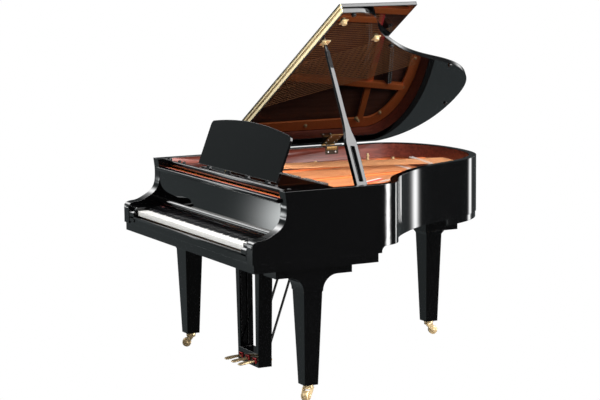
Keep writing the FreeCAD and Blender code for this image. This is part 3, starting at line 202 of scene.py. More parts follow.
class NodeSheet:
    """Adds nodes to one shader tree and links them.

    Args:
        tree: The tree.
    """

    def __init__(self, tree: bpy.types.NodeTree) -> None:
        self.tree = tree

    def set(self, node: bpy.types.Node, inputs: Inputs) -> None:
        """Set or link the inputs of a node.

        Args:
            node: The node.
            inputs: Value of each input, or the socket that feeds it.
        """
        for key, value in inputs.items():
            if isinstance(value, Socket):
                self.tree.links.new(value, node.inputs[key])
            else:
                node.inputs[key].default_value = value

    def add(self, kind: str, inputs: Inputs | None = None, **settings: object) -> bpy.types.Node:
        """Add a node.

        Args:
            kind: Type of the node, without its prefix.
            inputs: Value of each input, or the socket that feeds it.
            settings: Properties of the node.

        Returns:
            The node.
        """
        node = self.tree.nodes.new("ShaderNode" + kind)
        for name, value in settings.items():
            setattr(node, name, value)
        self.set(node, inputs or {})
        return node

    def mix(self, factor: Socket, first: object, second: object) -> Socket:
        """Blend two colours.

        Args:
            factor: Socket that blends from the first to the second.
            first: Colour or socket.
            second: Colour or socket.

        Returns:
            The colour socket.
        """
        blend = self.add("Mix", {"Factor": factor, "A": first, "B": second}, data_type="RGBA")
        return blend.outputs["Result"]


class NodeGroups:
    """Shader node groups that several materials share."""

    def __init__(self) -> None:
        self.grain = self._make_grain()
        self.wear = self._make_wear()
        self.edge = self._make_edge()
        self.dome = self._make_dome()

    @staticmethod
    def _group(name: str, inputs: dict[str, str], outputs: dict[str, str]) -> NodeSheet:
        """Empty node group with its sockets.

        Args:
            name: Name of the group.
            inputs: Socket types by input name, without their prefix.
            outputs: Socket types by output name, without their prefix.

        Returns:
            Sheet of the group's tree, with its input and output nodes.
        """
        tree = bpy.data.node_groups.new(name, "ShaderNodeTree")
        for side, sockets in (("INPUT", inputs), ("OUTPUT", outputs)):
            for label, kind in sockets.items():
                tree.interface.new_socket(label, in_out=side, socket_type="NodeSocket" + kind)
        tree.nodes.new("NodeGroupInput").name = "In"
        tree.nodes.new("NodeGroupOutput").name = "Out"
        return NodeSheet(tree)

    def _make_grain(self) -> bpy.types.ShaderNodeTree:
        """Straight wood grain along Y with fine pores.

        Returns:
            Group with a Color and a Mask output.
        """
        sheet = self._group("Wood grain", {"Light": "Color", "Dark": "Color", "Scale": "Float"},
                            {"Color": "Color", "Mask": "Float"})
        given = sheet.tree.nodes["In"].outputs
        coords = sheet.add("TexCoord")
        stretch = sheet.add("Mapping", {"Vector": coords.outputs["Object"], "Scale": (1.0, 0.06, 1.0)})
        noise = sheet.add("TexNoise", {"Vector": stretch.outputs["Vector"], "Scale": given["Scale"],
                                       "Detail": 6.0, "Distortion": 0.4})
        ramp = sheet.add("ValToRGB", {"Fac": noise.outputs["Fac"]})
        for stop, place in zip(ramp.color_ramp.elements, (0.36, 0.64)):
            stop.position = place
        mask = ramp.outputs["Color"]
        colour = sheet.mix(mask, given["Light"], given["Dark"])
        sheet.set(sheet.tree.nodes["Out"], {"Color": colour, "Mask": mask})
        return sheet.tree

    def _make_wear(self) -> bpy.types.ShaderNodeTree:
        """Uneven roughness and a mask of the worn spots, which on the strings places painted reflection
        streaks.

        Returns:
            Group with a Value and a Mask output.
        """
        sheet = self._group("Uneven surface", {"Mean": "Float", "Spread": "Float", "Scale": "Float"},
                            {"Value": "Float", "Mask": "Float"})
        given = sheet.tree.nodes["In"].outputs
        coords = sheet.add("TexCoord")
        noise = sheet.add("TexNoise", {"Vector": coords.outputs["Object"], "Scale": given["Scale"],
                                       "Detail": 4.0})
        mask = noise.outputs["Fac"]
        centred = sheet.add("Math", {0: mask, 1: 0.5}, operation="SUBTRACT")
        scaled = sheet.add("Math", {0: centred.outputs["Value"], 1: given["Spread"], 2: given["Mean"]},
                           operation="MULTIPLY_ADD")
        sheet.set(sheet.tree.nodes["Out"], {"Value": scaled.outputs["Value"], "Mask": mask})
        return sheet.tree

    def _make_edge(self) -> bpy.types.ShaderNodeTree:
        """Softly rounded edges with a faint bump.

        Returns:
            Group with a Normal output.
        """
        sheet = self._group("Soft edge", {"Radius": "Float", "Height": "Float", "Strength": "Float"},
                            {"Normal": "Vector"})
        given = sheet.tree.nodes["In"].outputs
        bevel = sheet.add("Bevel", {"Radius": given["Radius"]}, samples=4)
        bump = sheet.add("Bump", {"Normal": bevel.outputs["Normal"], "Height": given["Height"],
                                  "Strength": given["Strength"], "Distance": 0.0005})
        sheet.set(sheet.tree.nodes["Out"], {"Normal": bump.outputs["Normal"]})
        return sheet.tree

    def _make_dome(self) -> bpy.types.ShaderNodeTree:
        """Brightness of the studio by direction: soft patches over a dim base.

        Returns:
            Group with a Color output.
        """
        sheet = self._group("Studio dome", {}, {"Color": "Color"})
        way = sheet.add("TexCoord").outputs["Generated"]
        total: Socket | Colour = Studio.DOME_BASE
        for lobe in Studio.DOME_LOBES:
            dot = sheet.add("VectorMath", {0: way, 1: lobe.direction()}, operation="DOT_PRODUCT")
            front = sheet.add("Math", {0: dot.outputs["Value"], 1: 0.0}, operation="MAXIMUM")
            narrow = sheet.add("Math", {0: front.outputs["Value"], 1: lobe.power}, operation="POWER")
            level = sheet.add("VectorMath", {0: narrow.outputs["Value"], 1: lobe.level, 2: total},
                              operation="MULTIPLY_ADD")
            total = level.outputs["Vector"]
        sheet.set(sheet.tree.nodes["Out"], {"Color": total})
        return sheet.tree


class MaterialShop:
    """Makes each finish once as a node material."""

    FRONT_TOPS = 0.30  # depth where the keys' coverings end

    def __init__(self) -> None:
        self.groups = NodeGroups()
        self.made: dict[str, bpy.types.Material] = {}

    def get(self, finish: Finish) -> bpy.types.Material:
        """Material of a finish.

        Args:
            finish: The finish to shade.

        Returns:
            The material, made on first use.
        """
        if finish.name not in self.made:
            self.made[finish.name] = self._make(finish)
        return self.made[finish.name]

    def _make(self, finish: Finish) -> bpy.types.Material:
        """Build the node tree of a finish.

        Args:
            finish: The finish to shade.

        Returns:
            The new material.
        """
        material = bpy.data.materials.new(finish.name)
        material.use_nodes = True
        sheet = NodeSheet(material.node_tree)
        shader = material.node_tree.nodes["Principled BSDF"]
        wear = sheet.add("Group", node_tree=self.groups.wear)
        sheet.set(wear, {"Mean": finish.rough, "Spread": finish.spread, "Scale": finish.scale})
        edge = sheet.add("Group", node_tree=self.groups.edge)
        sheet.set(edge, {"Radius": finish.edge, "Strength": 0.0})
        sheet.set(shader, {"Roughness": wear.outputs["Value"], "Normal": edge.outputs["Normal"],
                           "Metallic": finish.metal})
        first, second = (*finish.colour, 1.0), (*finish.second, 1.0)
        mask = wear.outputs["Mask"]
        if finish.family is Family.WOOD:
            grain = sheet.add("Group", node_tree=self.groups.grain)
            sheet.set(grain, {"Light": first, "Dark": second, "Scale": finish.scale})
            sheet.set(edge, {"Height": grain.outputs["Mask"], "Strength": 0.05})
            sheet.set(shader, {"Base Color": grain.outputs["Color"], "Coat Weight": 0.2,
                               "Coat Roughness": 0.3})
            return material
        if finish.family is Family.FELT:
            sheet.set(edge, {"Height": mask, "Strength": 0.5})
            sheet.set(shader, {"Sheen Weight": 0.3})
        elif finish.family is Family.PAINT:
            sheet.set(edge, {"Height": mask, "Strength": 0.25})
        elif finish.family is Family.WOUND:
            sheet.set(edge, {"Height": self._windings(sheet, finish.scale), "Strength": 0.7})
        elif finish.family is Family.KEY:
            mask = self._bare_wood(sheet)
        sheet.set(shader, {"Base Color": sheet.mix(mask, first, second)})
        return material

    @staticmethod
    def _windings(sheet: NodeSheet, scale: float) -> Socket:
        """Fine rings along a wound string.

        Args:
            sheet: Sheet of the material.
            scale: Scale of the windings.

        Returns:
            The height socket.
        """
        coords = sheet.add("TexCoord")
        wave = sheet.add("TexWave", {"Vector": coords.outputs["Object"], "Scale": scale}, bands_direction="Y")
        return wave.outputs["Fac"]

    def _bare_wood(self, sheet: NodeSheet) -> Socket:
        """Mask of the bare wood of a key, behind its covering.

        Args:
            sheet: Sheet of the material.

        Returns:
            The mask socket.
        """
        coords = sheet.add("TexCoord")
        split = sheet.add("SeparateXYZ", {"Vector": coords.outputs["Object"]})
        behind = sheet.add("Math", {0: split.outputs["Y"], 1: depth(self.FRONT_TOPS)},
                           operation="GREATER_THAN")
        return behind.outputs["Value"]


class Modeller:
    """Mesh operators, used on one new piece at a time."""

    @staticmethod
    def start() -> None:
        """Leave edit mode, deselect everything and go back to picking corners."""
        if bpy.context.mode != "OBJECT":
            bpy.ops.object.mode_set(mode="OBJECT")
        bpy.ops.object.select_all(action="DESELECT")
        bpy.context.scene.tool_settings.mesh_select_mode = (True, False, False)

    @staticmethod
    def select(piece: Shape) -> None:
        """Select one piece alone and make it active.

        Args:
            piece: The piece.
        """
        Modeller.start()
        piece.select_set(True)
        bpy.context.view_layer.objects.active = piece

    @staticmethod
    def edit() -> None:
        """Enter edit mode with everything selected."""
        bpy.ops.object.mode_set(mode="EDIT")
        bpy.ops.mesh.select_all(action="SELECT")

    @staticmethod
    def outward() -> None:
        """Select everything and turn its normals outwards."""
        bpy.ops.mesh.select_all(action="SELECT")
        bpy.ops.mesh.normals_make_consistent(inside=False)

    @staticmethod
    def draw_on(step: Vector, grow: Sequence[float]) -> None:
        """Extrude the selection and scale its new end.

        Args:
            step: Direction and length of the extrusion.
            grow: Scale of the end along each axis.
        """
        bpy.ops.mesh.extrude_region_move(TRANSFORM_OT_translate={"value": step})
        bpy.ops.transform.resize(value=grow)

    @staticmethod
    def pick_faces(piece: Shape, wanted: Callable[[bpy.types.MeshPolygon], bool]) -> None:
        """Enter edit mode with the wanted faces of a piece selected.

        Args:
            piece: The piece.
            wanted: Tells whether a face is selected.
        """
        Modeller.select(piece)
        bpy.ops.object.mode_set(mode="EDIT")
        bpy.ops.mesh.select_all(action="DESELECT")
        bpy.ops.object.mode_set(mode="OBJECT")
        bpy.context.scene.tool_settings.mesh_select_mode = (False, False, True)
        for face in piece.data.polygons:
            face.select = wanted(face)
        bpy.ops.object.mode_set(mode="EDIT")

    @staticmethod
    def settle(name: str) -> Shape:
        """Name the active piece and write its place into its mesh.

        Args:
            name: Name of the piece.

        Returns:
            The piece.
        """
        bpy.ops.object.mode_set(mode="OBJECT")
        piece = bpy.context.object
        piece.name = name
        piece.data.name = name
        bpy.ops.object.transform_apply(location=True, rotation=True, scale=True)
        return piece

    @staticmethod
    def smooth(piece: Shape, degrees: float = 35.0) -> Shape:
        """Shade a piece smooth up to an angle.

        Args:
            piece: The piece.
            degrees: Edges sharper than this stay sharp.

        Returns:
            The piece.
        """
        Modeller.select(piece)
        bpy.ops.object.shade_smooth_by_angle(angle=math.radians(degrees))
        return piece

    @staticmethod
    def block(name: str, low: Sequence[float], high: Sequence[float], bevel: float,
              segments: int = 3) -> Shape:
        """Block between two corners with rounded edges.

        Args:
            name: Name of the piece.
            low: Lower corner.
            high: Upper corner.
            bevel: Radius of its edges.
            segments: Steps of each rounded edge.

        Returns:
            The piece.
        """
        Modeller.start()
        middle = [(a + b) / 2 for a, b in zip(low, high)]
        span = [b - a for a, b in zip(low, high)]
        bpy.ops.mesh.primitive_cube_add(size=1.0, location=middle, scale=span)
        Modeller.settle(name)
        Modeller.edit()
        bpy.ops.mesh.bevel(offset=bevel, segments=segments, affect="EDGES")
        return Modeller.smooth(Modeller.settle(name))

    @staticmethod
    def bar(name: str, half: float, depths: Spot, levels: Spot, bevel: float, segments: int = 3) -> Shape:
        """Block across the piano with its middle at X zero.

        Args:
            name: Name of the piece.
            half: Half its length.
            depths: Depth of its front and back.
            levels: Height of its foot and top.
            bevel: Radius of its edges.
            segments: Steps of each rounded edge.

        Returns:
            The piece.
        """
        low, high = ((side, depth(back), level) for side, back, level in zip((-half, half), depths, levels))
        return Modeller.block(name, low, high, bevel, segments)

    @staticmethod
    def turned(name: str, rings: Sequence[Spot], corners: int, foot: Vector = ORIGIN,
               axis: Vector = UP) -> Shape:
        """Turned piece whose rings are drawn up from a filled circle.

        Args:
            name: Name of the piece.
            rings: Height along the axis and radius of each ring.
            corners: Corners of each ring.
            foot: Centre of the first ring.
            axis: Direction of the turning axis.

        Returns:
            The piece.
        """
        Modeller.start()
        level, radius = rings[0]
        bpy.ops.mesh.primitive_circle_add(vertices=corners, radius=radius, fill_type="NGON",
                                          location=UP * level)
        Modeller.edit()
        for height, wide in rings[1:]:
            Modeller.draw_on(UP * (height - level), (wide / radius, wide / radius, 1.0))
            level, radius = height, wide
        Modeller.outward()
        piece = Modeller.settle(name)
        turn = UP.rotation_difference(axis).to_matrix().to_4x4()
        piece.data.transform(Matrix.Translation(foot) @ turn)
        return Modeller.smooth(piece)

    @staticmethod
    def traced(name: str, outline: Sequence[Vector], span: Vector, bevel: float = 0.0) -> Shape:
        """Prism over an outline that is drawn out from one vertex.

        Args:
            name: Name of the piece.
            outline: Corners of the outline.
            span: Direction and length of the prism.
            bevel: Radius of its edges.

        Returns:
            The piece.
        """
        Modeller.start()
        bpy.ops.mesh.primitive_plane_add(size=0.01, location=outline[0])
        Modeller.edit()
        bpy.ops.mesh.merge(type="CENTER")
        for last, corner in zip(outline, outline[1:]):
            bpy.ops.mesh.extrude_region_move(TRANSFORM_OT_translate={"value": corner - last})
        bpy.ops.mesh.select_all(action="SELECT")
        bpy.ops.mesh.edge_face_add()
        bpy.ops.mesh.extrude_region_move(TRANSFORM_OT_translate={"value": span})
        Modeller.outward()
        if bevel:
            bpy.ops.mesh.bevel(offset=bevel, segments=2, affect="EDGES")
        return Modeller.smooth(Modeller.settle(name))

    @staticmethod
    def lofted(name: str, stations: Sequence[tuple[Vector, float, float]], axis: str) -> Shape:
        """Bar whose cross-section is drawn on from station to station.

        Args:
            name: Name of the piece.
            stations: Middle, half width and half height of each cross-section.
            axis: Y for upright sections, Z for level ones.

        Returns:
            The piece.
        """
        Modeller.start()
        middle, wide, high = stations[0]
        upright = axis == "Y"
        tilt = (math.pi / 2 if upright else 0.0, 0.0, 0.0)
        bpy.ops.mesh.primitive_plane_add(size=2.0, location=middle, rotation=tilt)
        Modeller.settle(name)
        Modeller.edit()
        bpy.ops.transform.resize(value=(wide, 1.0, high) if upright else (wide, high, 1.0))
        for place, broad, tall in stations[1:]:
            grow = (broad / wide, 1.0, tall / high) if upright else (broad / wide, tall / high, 1.0)
            Modeller.draw_on(place - middle, grow)
            middle, wide, high = place, broad, tall
        Modeller.outward()
        return Modeller.smooth(Modeller.settle(name))

    @staticmethod
    def copy(piece: Shape, name: str, place: Matrix) -> Shape:
        """Copy of a piece with its own mesh.

        Args:
            piece: The piece to copy.
            name: Name of the copy.
            place: Transform written into the copy's mesh.

        Returns:
            The copy.
        """
        twin = bpy.data.objects.new(name, piece.data.copy())
        twin.data.name = name
        twin.data.transform(place)
        bpy.context.collection.objects.link(twin)
        return twin

    @staticmethod
    def join(name: str, pieces: Sequence[Shape]) -> Shape:
        """Join several pieces into one.

        Args:
            name: Name of the joined piece.
            pieces: The pieces.

        Returns:
            The joined piece.
        """
        Modeller.start()
        for piece in pieces:
            piece.select_set(True)
        bpy.context.view_layer.objects.active = pieces[0]
        bpy.ops.object.join()
        joined = bpy.context.object
        joined.name = name
        joined.data.name = name
        return joined

    @staticmethod
    def repeat(piece: Shape, name: str, places: Iterable[Matrix]) -> Shape:
        """Model that stands at several places, joined into one piece.

        Args:
            piece: The model, made about the origin, which is used up.
            name: Name of the joined piece.
            places: Transforms of the copies.

        Returns:
            The joined piece.
        """
        copies = [Modeller.copy(piece, name, place) for place in places]
        bpy.data.objects.remove(piece)
        return Modeller.join(name, copies)


@dataclass
class Assembly:
    """Part of the piano whose pieces ride on bodies of the frame.

    Args:
        shop: Shop that makes the materials.
    """

    shop: MaterialShop

    def build(self) -> None:
        """Build every piece."""
        raise NotImplementedError

    def fit(self, piece: Shape, body: Body | str, finish: Finish, slot: Slot, *nodes: str) -> None:
        """Give a piece its finish and let it ride on a body.

        Args:
            piece: The piece.
            body: Body that carries it.
            finish: Its finish.
            slot: Its slot in the record; not used.
            nodes: CAD nodes that it stands for.
        """
        piece.data.materials.clear()
        piece.data.materials.append(self.shop.get(finish))
        for face in piece.data.polygons:
            face.material_index = 0
        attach(piece, body.value if isinstance(body, Body) else body)
        if nodes:
            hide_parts(*nodes)
        LOG.info("fitted %s", piece.name)

    @staticmethod
    def solids(node: str) -> list[np.ndarray]:
        """Corners of each separate solid of a CAD node.

        Args:
            node: Name of the node.

        Returns:
            One array of corners per solid.
        """
        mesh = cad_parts[node].data
        corners = np.empty(len(mesh.vertices) * 3)
        mesh.vertices.foreach_get("co", corners)
        corners = corners.reshape(-1, 3)
        _, same = np.unique(np.round(corners, 5), axis=0, return_inverse=True)
        same = same.reshape(-1)
        parent = np.arange(same.max() + 1)

        def root(index: int) -> int:
            while parent[index] != index:
                parent[index] = parent[parent[index]]
                index = parent[index]
            return index

        for edge in mesh.edges:
            first, last = (root(same[vertex]) for vertex in edge.vertices)
            parent[first] = last
        roots = np.array([root(index) for index in same])
        return [corners[roots == label] for label in np.unique(roots)]


@dataclass
class CadNodes(Assembly):
    """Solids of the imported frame, which keep their shapes."""

    def build(self) -> None:
        """Give every CAD node its finish."""
        for name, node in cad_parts.items():
            node.data.materials.clear()
            node.data.materials.append(self.shop.get(self._finish(name)))
            Modeller.smooth(node, degrees=30.0)

    @staticmethod
    def _finish(name: str) -> Finish:
        """Finish of a node: as listed, as a single key, or else brass.

        Args:
            name: Name of the node.

        Returns:
            The finish.
        """
        for finish, names in NODE_FINISHES.items():
            if name in names:
                return finish
        if name.startswith("key_"):
            return EBONY if name.endswith("sharp") else IVORY
        return BRASS


@dataclass(frozen=True)
class LidFrame:
    """Pose of the open lid over the case.

    Args:
        hinge_x: X of the spine hinges' axis.
        hinge_z: Height of that axis.
        turn: Opening angle in degrees.
        under: Height of the shut lid's underside.
    """

    hinge_x: float = -0.7507
    hinge_z: float = 0.9855
    turn: float = 30.8
    under: float = 0.988

    def matrix(self) -> Matrix:
        """Transform from the shut lid to the open one.

        Returns:
            The transform.
        """
        pivot = Vector((self.hinge_x, 0.0, self.hinge_z))
        turned = Matrix.Rotation(math.radians(self.turn), 4, Vector((0.0, -1.0, 0.0)))
        return Matrix.Translation(pivot) @ turned @ Matrix.Translation(-pivot)


@dataclass
class RimLining(Assembly):
    """Mahogany veneer on the inside of the rim above the plate.

    Args:
        foot: Height of its lower edge.
        top: Height of its upper edge.
        front: Depth where it starts.
        thick: Thickness of the veneer.
        heart: Plan point that all inner faces look towards.
    """

    foot: float = 0.9075
    top: float = 0.9795
    front: float = 0.25
    thick: float = 0.0012
    heart: Spot = (-0.15, 0.10)

    def build(self) -> None:
        """Copy the rim's inner faces, trim them to a band and give them thickness."""
        lining = Modeller.copy(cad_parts["rim"], "rim_lining", Matrix())
        Modeller.select(lining)
        Modeller.edit()
        bpy.ops.mesh.remove_doubles(threshold=0.00001)
        Modeller.pick_faces(lining, lambda face: not self._inside(face))
        bpy.ops.mesh.delete(type="FACE")
        for level, above in ((self.foot, False), (self.top, True)):
            bpy.ops.mesh.select_all(action="SELECT")
            bpy.ops.mesh.bisect(plane_co=UP * level, plane_no=UP, clear_outer=above, clear_inner=not above)
        Modeller.settle("rim_lining")
        wall = lining.modifiers.new("Wall", "SOLIDIFY")
        wall.thickness = self.thick
        wall.offset = 1.0
        bpy.ops.object.modifier_apply(modifier="Wall")
        self.fit(Modeller.smooth(lining), Body.CASE, MAHOGANY, Slot.WOOD)

    def _inside(self, face: bpy.types.MeshPolygon) -> bool:
        """Tell whether a face of the rim looks inwards.

        Args:
            face: The face.

        Returns:
            True for the upright faces behind the arms that look at the heart.
        """
        inward = Vector((self.heart[0] - face.center.x, self.heart[1] - face.center.y, 0.0))
        upright = abs(face.normal.z) < 0.1
        return upright and face.normal.dot(inward) > 0.0 and face.center.y > depth(self.front)


@dataclass
class StringBed(Assembly):
    """Unison strings, tuning pins, agraffes, felts, bridge pins and bolts over the plate.

    Args:
        unison: Sideways step between the strings of one note.
        pin_shift: Plan step between the pins of one note.
        plate_top: Height of the plate's web.
        agraffe_at: Depth of the agraffes.
        felt_high: Thickness of the felts.
        cloth: Plan line of the woven cloth between the strings, as X and depth.
        cloth_foot: Height of the cloth's foot.
        long_bridge: Plan line of the long bridge, as X and depth.
        bass_bridge: Plan line of the bass bridge, as X and depth.
        cap_foot: Height of the foot of the bass bridge's cap.
    """

    unison: float = 0.0016
    pin_shift: Spot = (0.0036, 0.0125)
    plate_top: float = 0.905
    agraffe_at: float = 0.470
    felt_high: float = 0.0035
    cloth: Sequence[Spot] = ((0.152, 0.985), (0.262, 0.800))
    cloth_foot: float = 0.9172
    long_bridge: Sequence[Spot] = (
        (0.570, 0.640), (0.499, 0.693), (0.413, 0.759), (0.284, 0.889), (0.194, 1.007), (0.093, 1.177),
        (-0.010, 1.273), (-0.149, 1.316), (-0.328, 1.326),
    )
    bass_bridge: Sequence[Spot] = ((-0.4175, 1.4915), (-0.1045, 1.4305))
    cap_foot: float = 0.9326

    def build(self) -> None:
        """Build every fitting over the plate."""
        trebles = self.solids("treble_strings")
        self._unisons()
        self._pins()
        self._agraffes(trebles + self.solids("bass_strings"))
        self._felts(trebles)
        self._bridges()
        self._bolts()

    def _unisons(self) -> None:
        """Second and third string of each treble note."""
        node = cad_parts["treble_strings"]
        sides = [Matrix.Translation((side * self.unison, 0.0, 0.0)) for side in (-1.0, 1.0)]
        twins = [Modeller.copy(node, "unison_strings", side) for side in sides]
        self.fit(Modeller.join("unison_strings", twins), Body.CASE, STRING, Slot.STEEL)

    def _pins(self) -> None:
        """Tuning pins with their coils, one for each string of a note."""
        rings = ((0.0, 0.0034), (0.006, 0.0034), (0.0068, 0.0047), (0.0112, 0.0047), (0.012, 0.0034),
                 (0.024, 0.0031), (0.0247, 0.0024), (0.030, 0.0021))
        pin = Modeller.turned("tuning_pin", rings, 10)
        places = []
        for corners in self.solids("tuning_pins"):
            middle = (corners.min(axis=0) + corners.max(axis=0)) / 2
            for step in (-1.0, 0.0, 1.0):
                x = middle[0] + step * self.pin_shift[0]
                y = middle[1] + step * self.pin_shift[1]
                places.append(Matrix.Translation((x, y, self.plate_top)))
        pins = Modeller.repeat(pin, "tuning_pins", places)
        self.fit(pins, Body.CASE, PIN, Slot.STEEL, "tuning_pins")

    def _agraffes(self, strings: list[np.ndarray]) -> None:
        """Brass stud under each note's strings.

        Args:
            strings: Corners of each string.
        """
        rings = ((0.0, 0.0046), (0.0035, 0.0046), (0.0042, 0.0034), (0.0105, 0.0034), (0.0125, 0.0016))
        stud = Modeller.turned("agraffe", rings, 12)
        places = []
        for corners in strings:
            near, far = corners[corners[:, 1].argmin()], corners[corners[:, 1].argmax()]
            share = (depth(self.agraffe_at) - near[1]) / (far[1] - near[1])
            x = near[0] + share * (far[0] - near[0])
            tall = (corners[:, 2].max() - self.plate_top) / rings[-1][0]
            scale = Matrix.Diagonal((1.0, 1.0, tall, 1.0))
            places.append(Matrix.Translation((x, depth(self.agraffe_at), self.plate_top)) @ scale)
        self.fit(Modeller.repeat(stud, "agraffes", places), Body.CASE, BRASS, Slot.BRASS)

    def _felts(self, trebles: list[np.ndarray]) -> None:
        """Red felts under the strings at the pins, on the hitch bar and along the bent side.

        Args:
            trebles: Corners of the treble strings.
        """
        low, high = self.plate_top, self.plate_top + self.felt_high
        front = Modeller.block("pin_felt", (-0.60, depth(0.424), low), (0.61, depth(0.458), high), 0.0015)
        self.fit(front, Body.CASE, RED_FELT, Slot.FELT)
        hitch = Modeller.block("hitch_felt", (-0.30, depth(1.3715), low), (0.06, depth(1.4035), high), 0.0015)
        self.fit(hitch, Body.CASE, BRIGHT_FELT, Slot.FELT)
        ends = [corners[corners[:, 1].argmax()] for corners in trebles]
        reach = max(end[1] for end in ends)
        ends = sorted((end for end in ends if end[1] < reach - 0.01), key=lambda end: end[0])
        near = [Vector((end[0], end[1] - 0.040, low)) for end in ends]
        far = [Vector((end[0], end[1] - 0.002, low)) for end in reversed(ends)]
        strip = Modeller.traced("bent_side_felt", near + far, UP * self.felt_high)
        self.fit(strip, Body.CASE, BRIGHT_FELT, Slot.FELT)
        band = self._band(self.cloth, self.cloth_foot, -0.012, 0.012)
        cloth = Modeller.traced("listing_cloth", band, UP * 0.0045)
        self.fit(cloth, Body.CASE, BRIGHT_FELT, Slot.FELT)
        threads = []
        for near, far in ((-0.0072, -0.0036), (0.0024, 0.0060)):
            band = self._band(self.cloth, self.cloth_foot + 0.0044, near, far)
            threads.append(Modeller.traced("thread", band, UP * 0.001))
        self.fit(Modeller.join("listing_threads", threads), Body.CASE, PALE_FELT, Slot.FELT)

    @staticmethod
    def _band(line: Sequence[Spot], level: float, near: float, far: float) -> list[Vector]:
        """Corners of a flat band along a straight line.

        Args:
            line: Both ends in plan, as X and depth.
            level: Height of the band.
            near: Sideways step from the line to one edge.
            far: Sideways step from the line to the other edge.

        Returns:
            The four corners.
        """
        start, end = (Vector((x, depth(back), level)) for x, back in line)
        side = (end - start).normalized().cross(UP)
        return [start + side * near, end + side * near, end + side * far, start + side * far]

    def _bridges(self) -> None:
        """Black cap of the bass bridge and the bridge pins."""
        outline = self._band(self.bass_bridge, self.cap_foot, -0.0125, 0.0125)
        cap = Modeller.traced("bass_bridge_cap", outline, UP * 0.0013)
        self.fit(cap, Body.CASE, SATIN_BLACK, Slot.BLACKS)
        rings = ((0.0, 0.0018), (0.0056, 0.0018), (0.0066, 0.0010))
        pin = Modeller.turned("bridge_pin", rings, 8)
        places = []
        for line, level in ((self.long_bridge, 0.9135), (self.bass_bridge, 0.9335)):
            for first, last in zip(line, line[1:]):
                near, far = (Vector((x, depth(back), level)) for x, back in (first, last))
                across = (far - near).normalized().cross(UP)
                steps = round((far - near).length / 0.013)
                for step in range(steps):
                    middle = near.lerp(far, (step + 0.5) / steps)
                    places += [Matrix.Translation(middle + across * row) for row in (-0.007, 0.007)]
        self.fit(Modeller.repeat(pin, "bridge_pins", places), Body.CASE, NICKEL, Slot.STEEL)

    def _bolts(self) -> None:
        """Domed bolts that hold the plate."""
        rings = ((0.0, 0.011), (0.0022, 0.011), (0.003, 0.0082), (0.0085, 0.0082), (0.0105, 0.0055))
        bolt = Modeller.turned("plate_bolt", rings, 20)
        spots = [(-0.676, back) for back in (0.34, 0.58, 0.82, 1.06, 1.30)]
        spots += [(across, 0.277) for across in (-0.52, -0.28, -0.04, 0.20, 0.44, 0.64)]
        spots += [(-0.62, 1.50), (-0.46, 1.60), (-0.28, 1.628), (-0.12, 1.61), (0.01, 1.54), (0.105, 1.41)]
        spots += [(0.178, 1.25), (0.27, 1.085), (0.40, 0.93), (0.56, 0.81), (0.672, 0.70), (0.676, 0.54)]
        places = [Matrix.Translation((x, depth(back), self.plate_top)) for x, back in spots]
        self.fit(Modeller.repeat(bolt, "plate_bolts", places), Body.CASE, BRASS, Slot.BRASS)
        rings = ((0.0, 0.012), (0.003, 0.012), (0.004, 0.0075), (0.018, 0.0070), (0.019, 0.0100),
                 (0.024, 0.0100), (0.026, 0.0070), (0.033, 0.0062), (0.035, 0.0040))
        place = Vector((-0.650, depth(1.362), self.plate_top))
        post = Modeller.turned("plate_post", rings, 24, place)
        self.fit(post, Body.CASE, BRASS, Slot.BRASS)


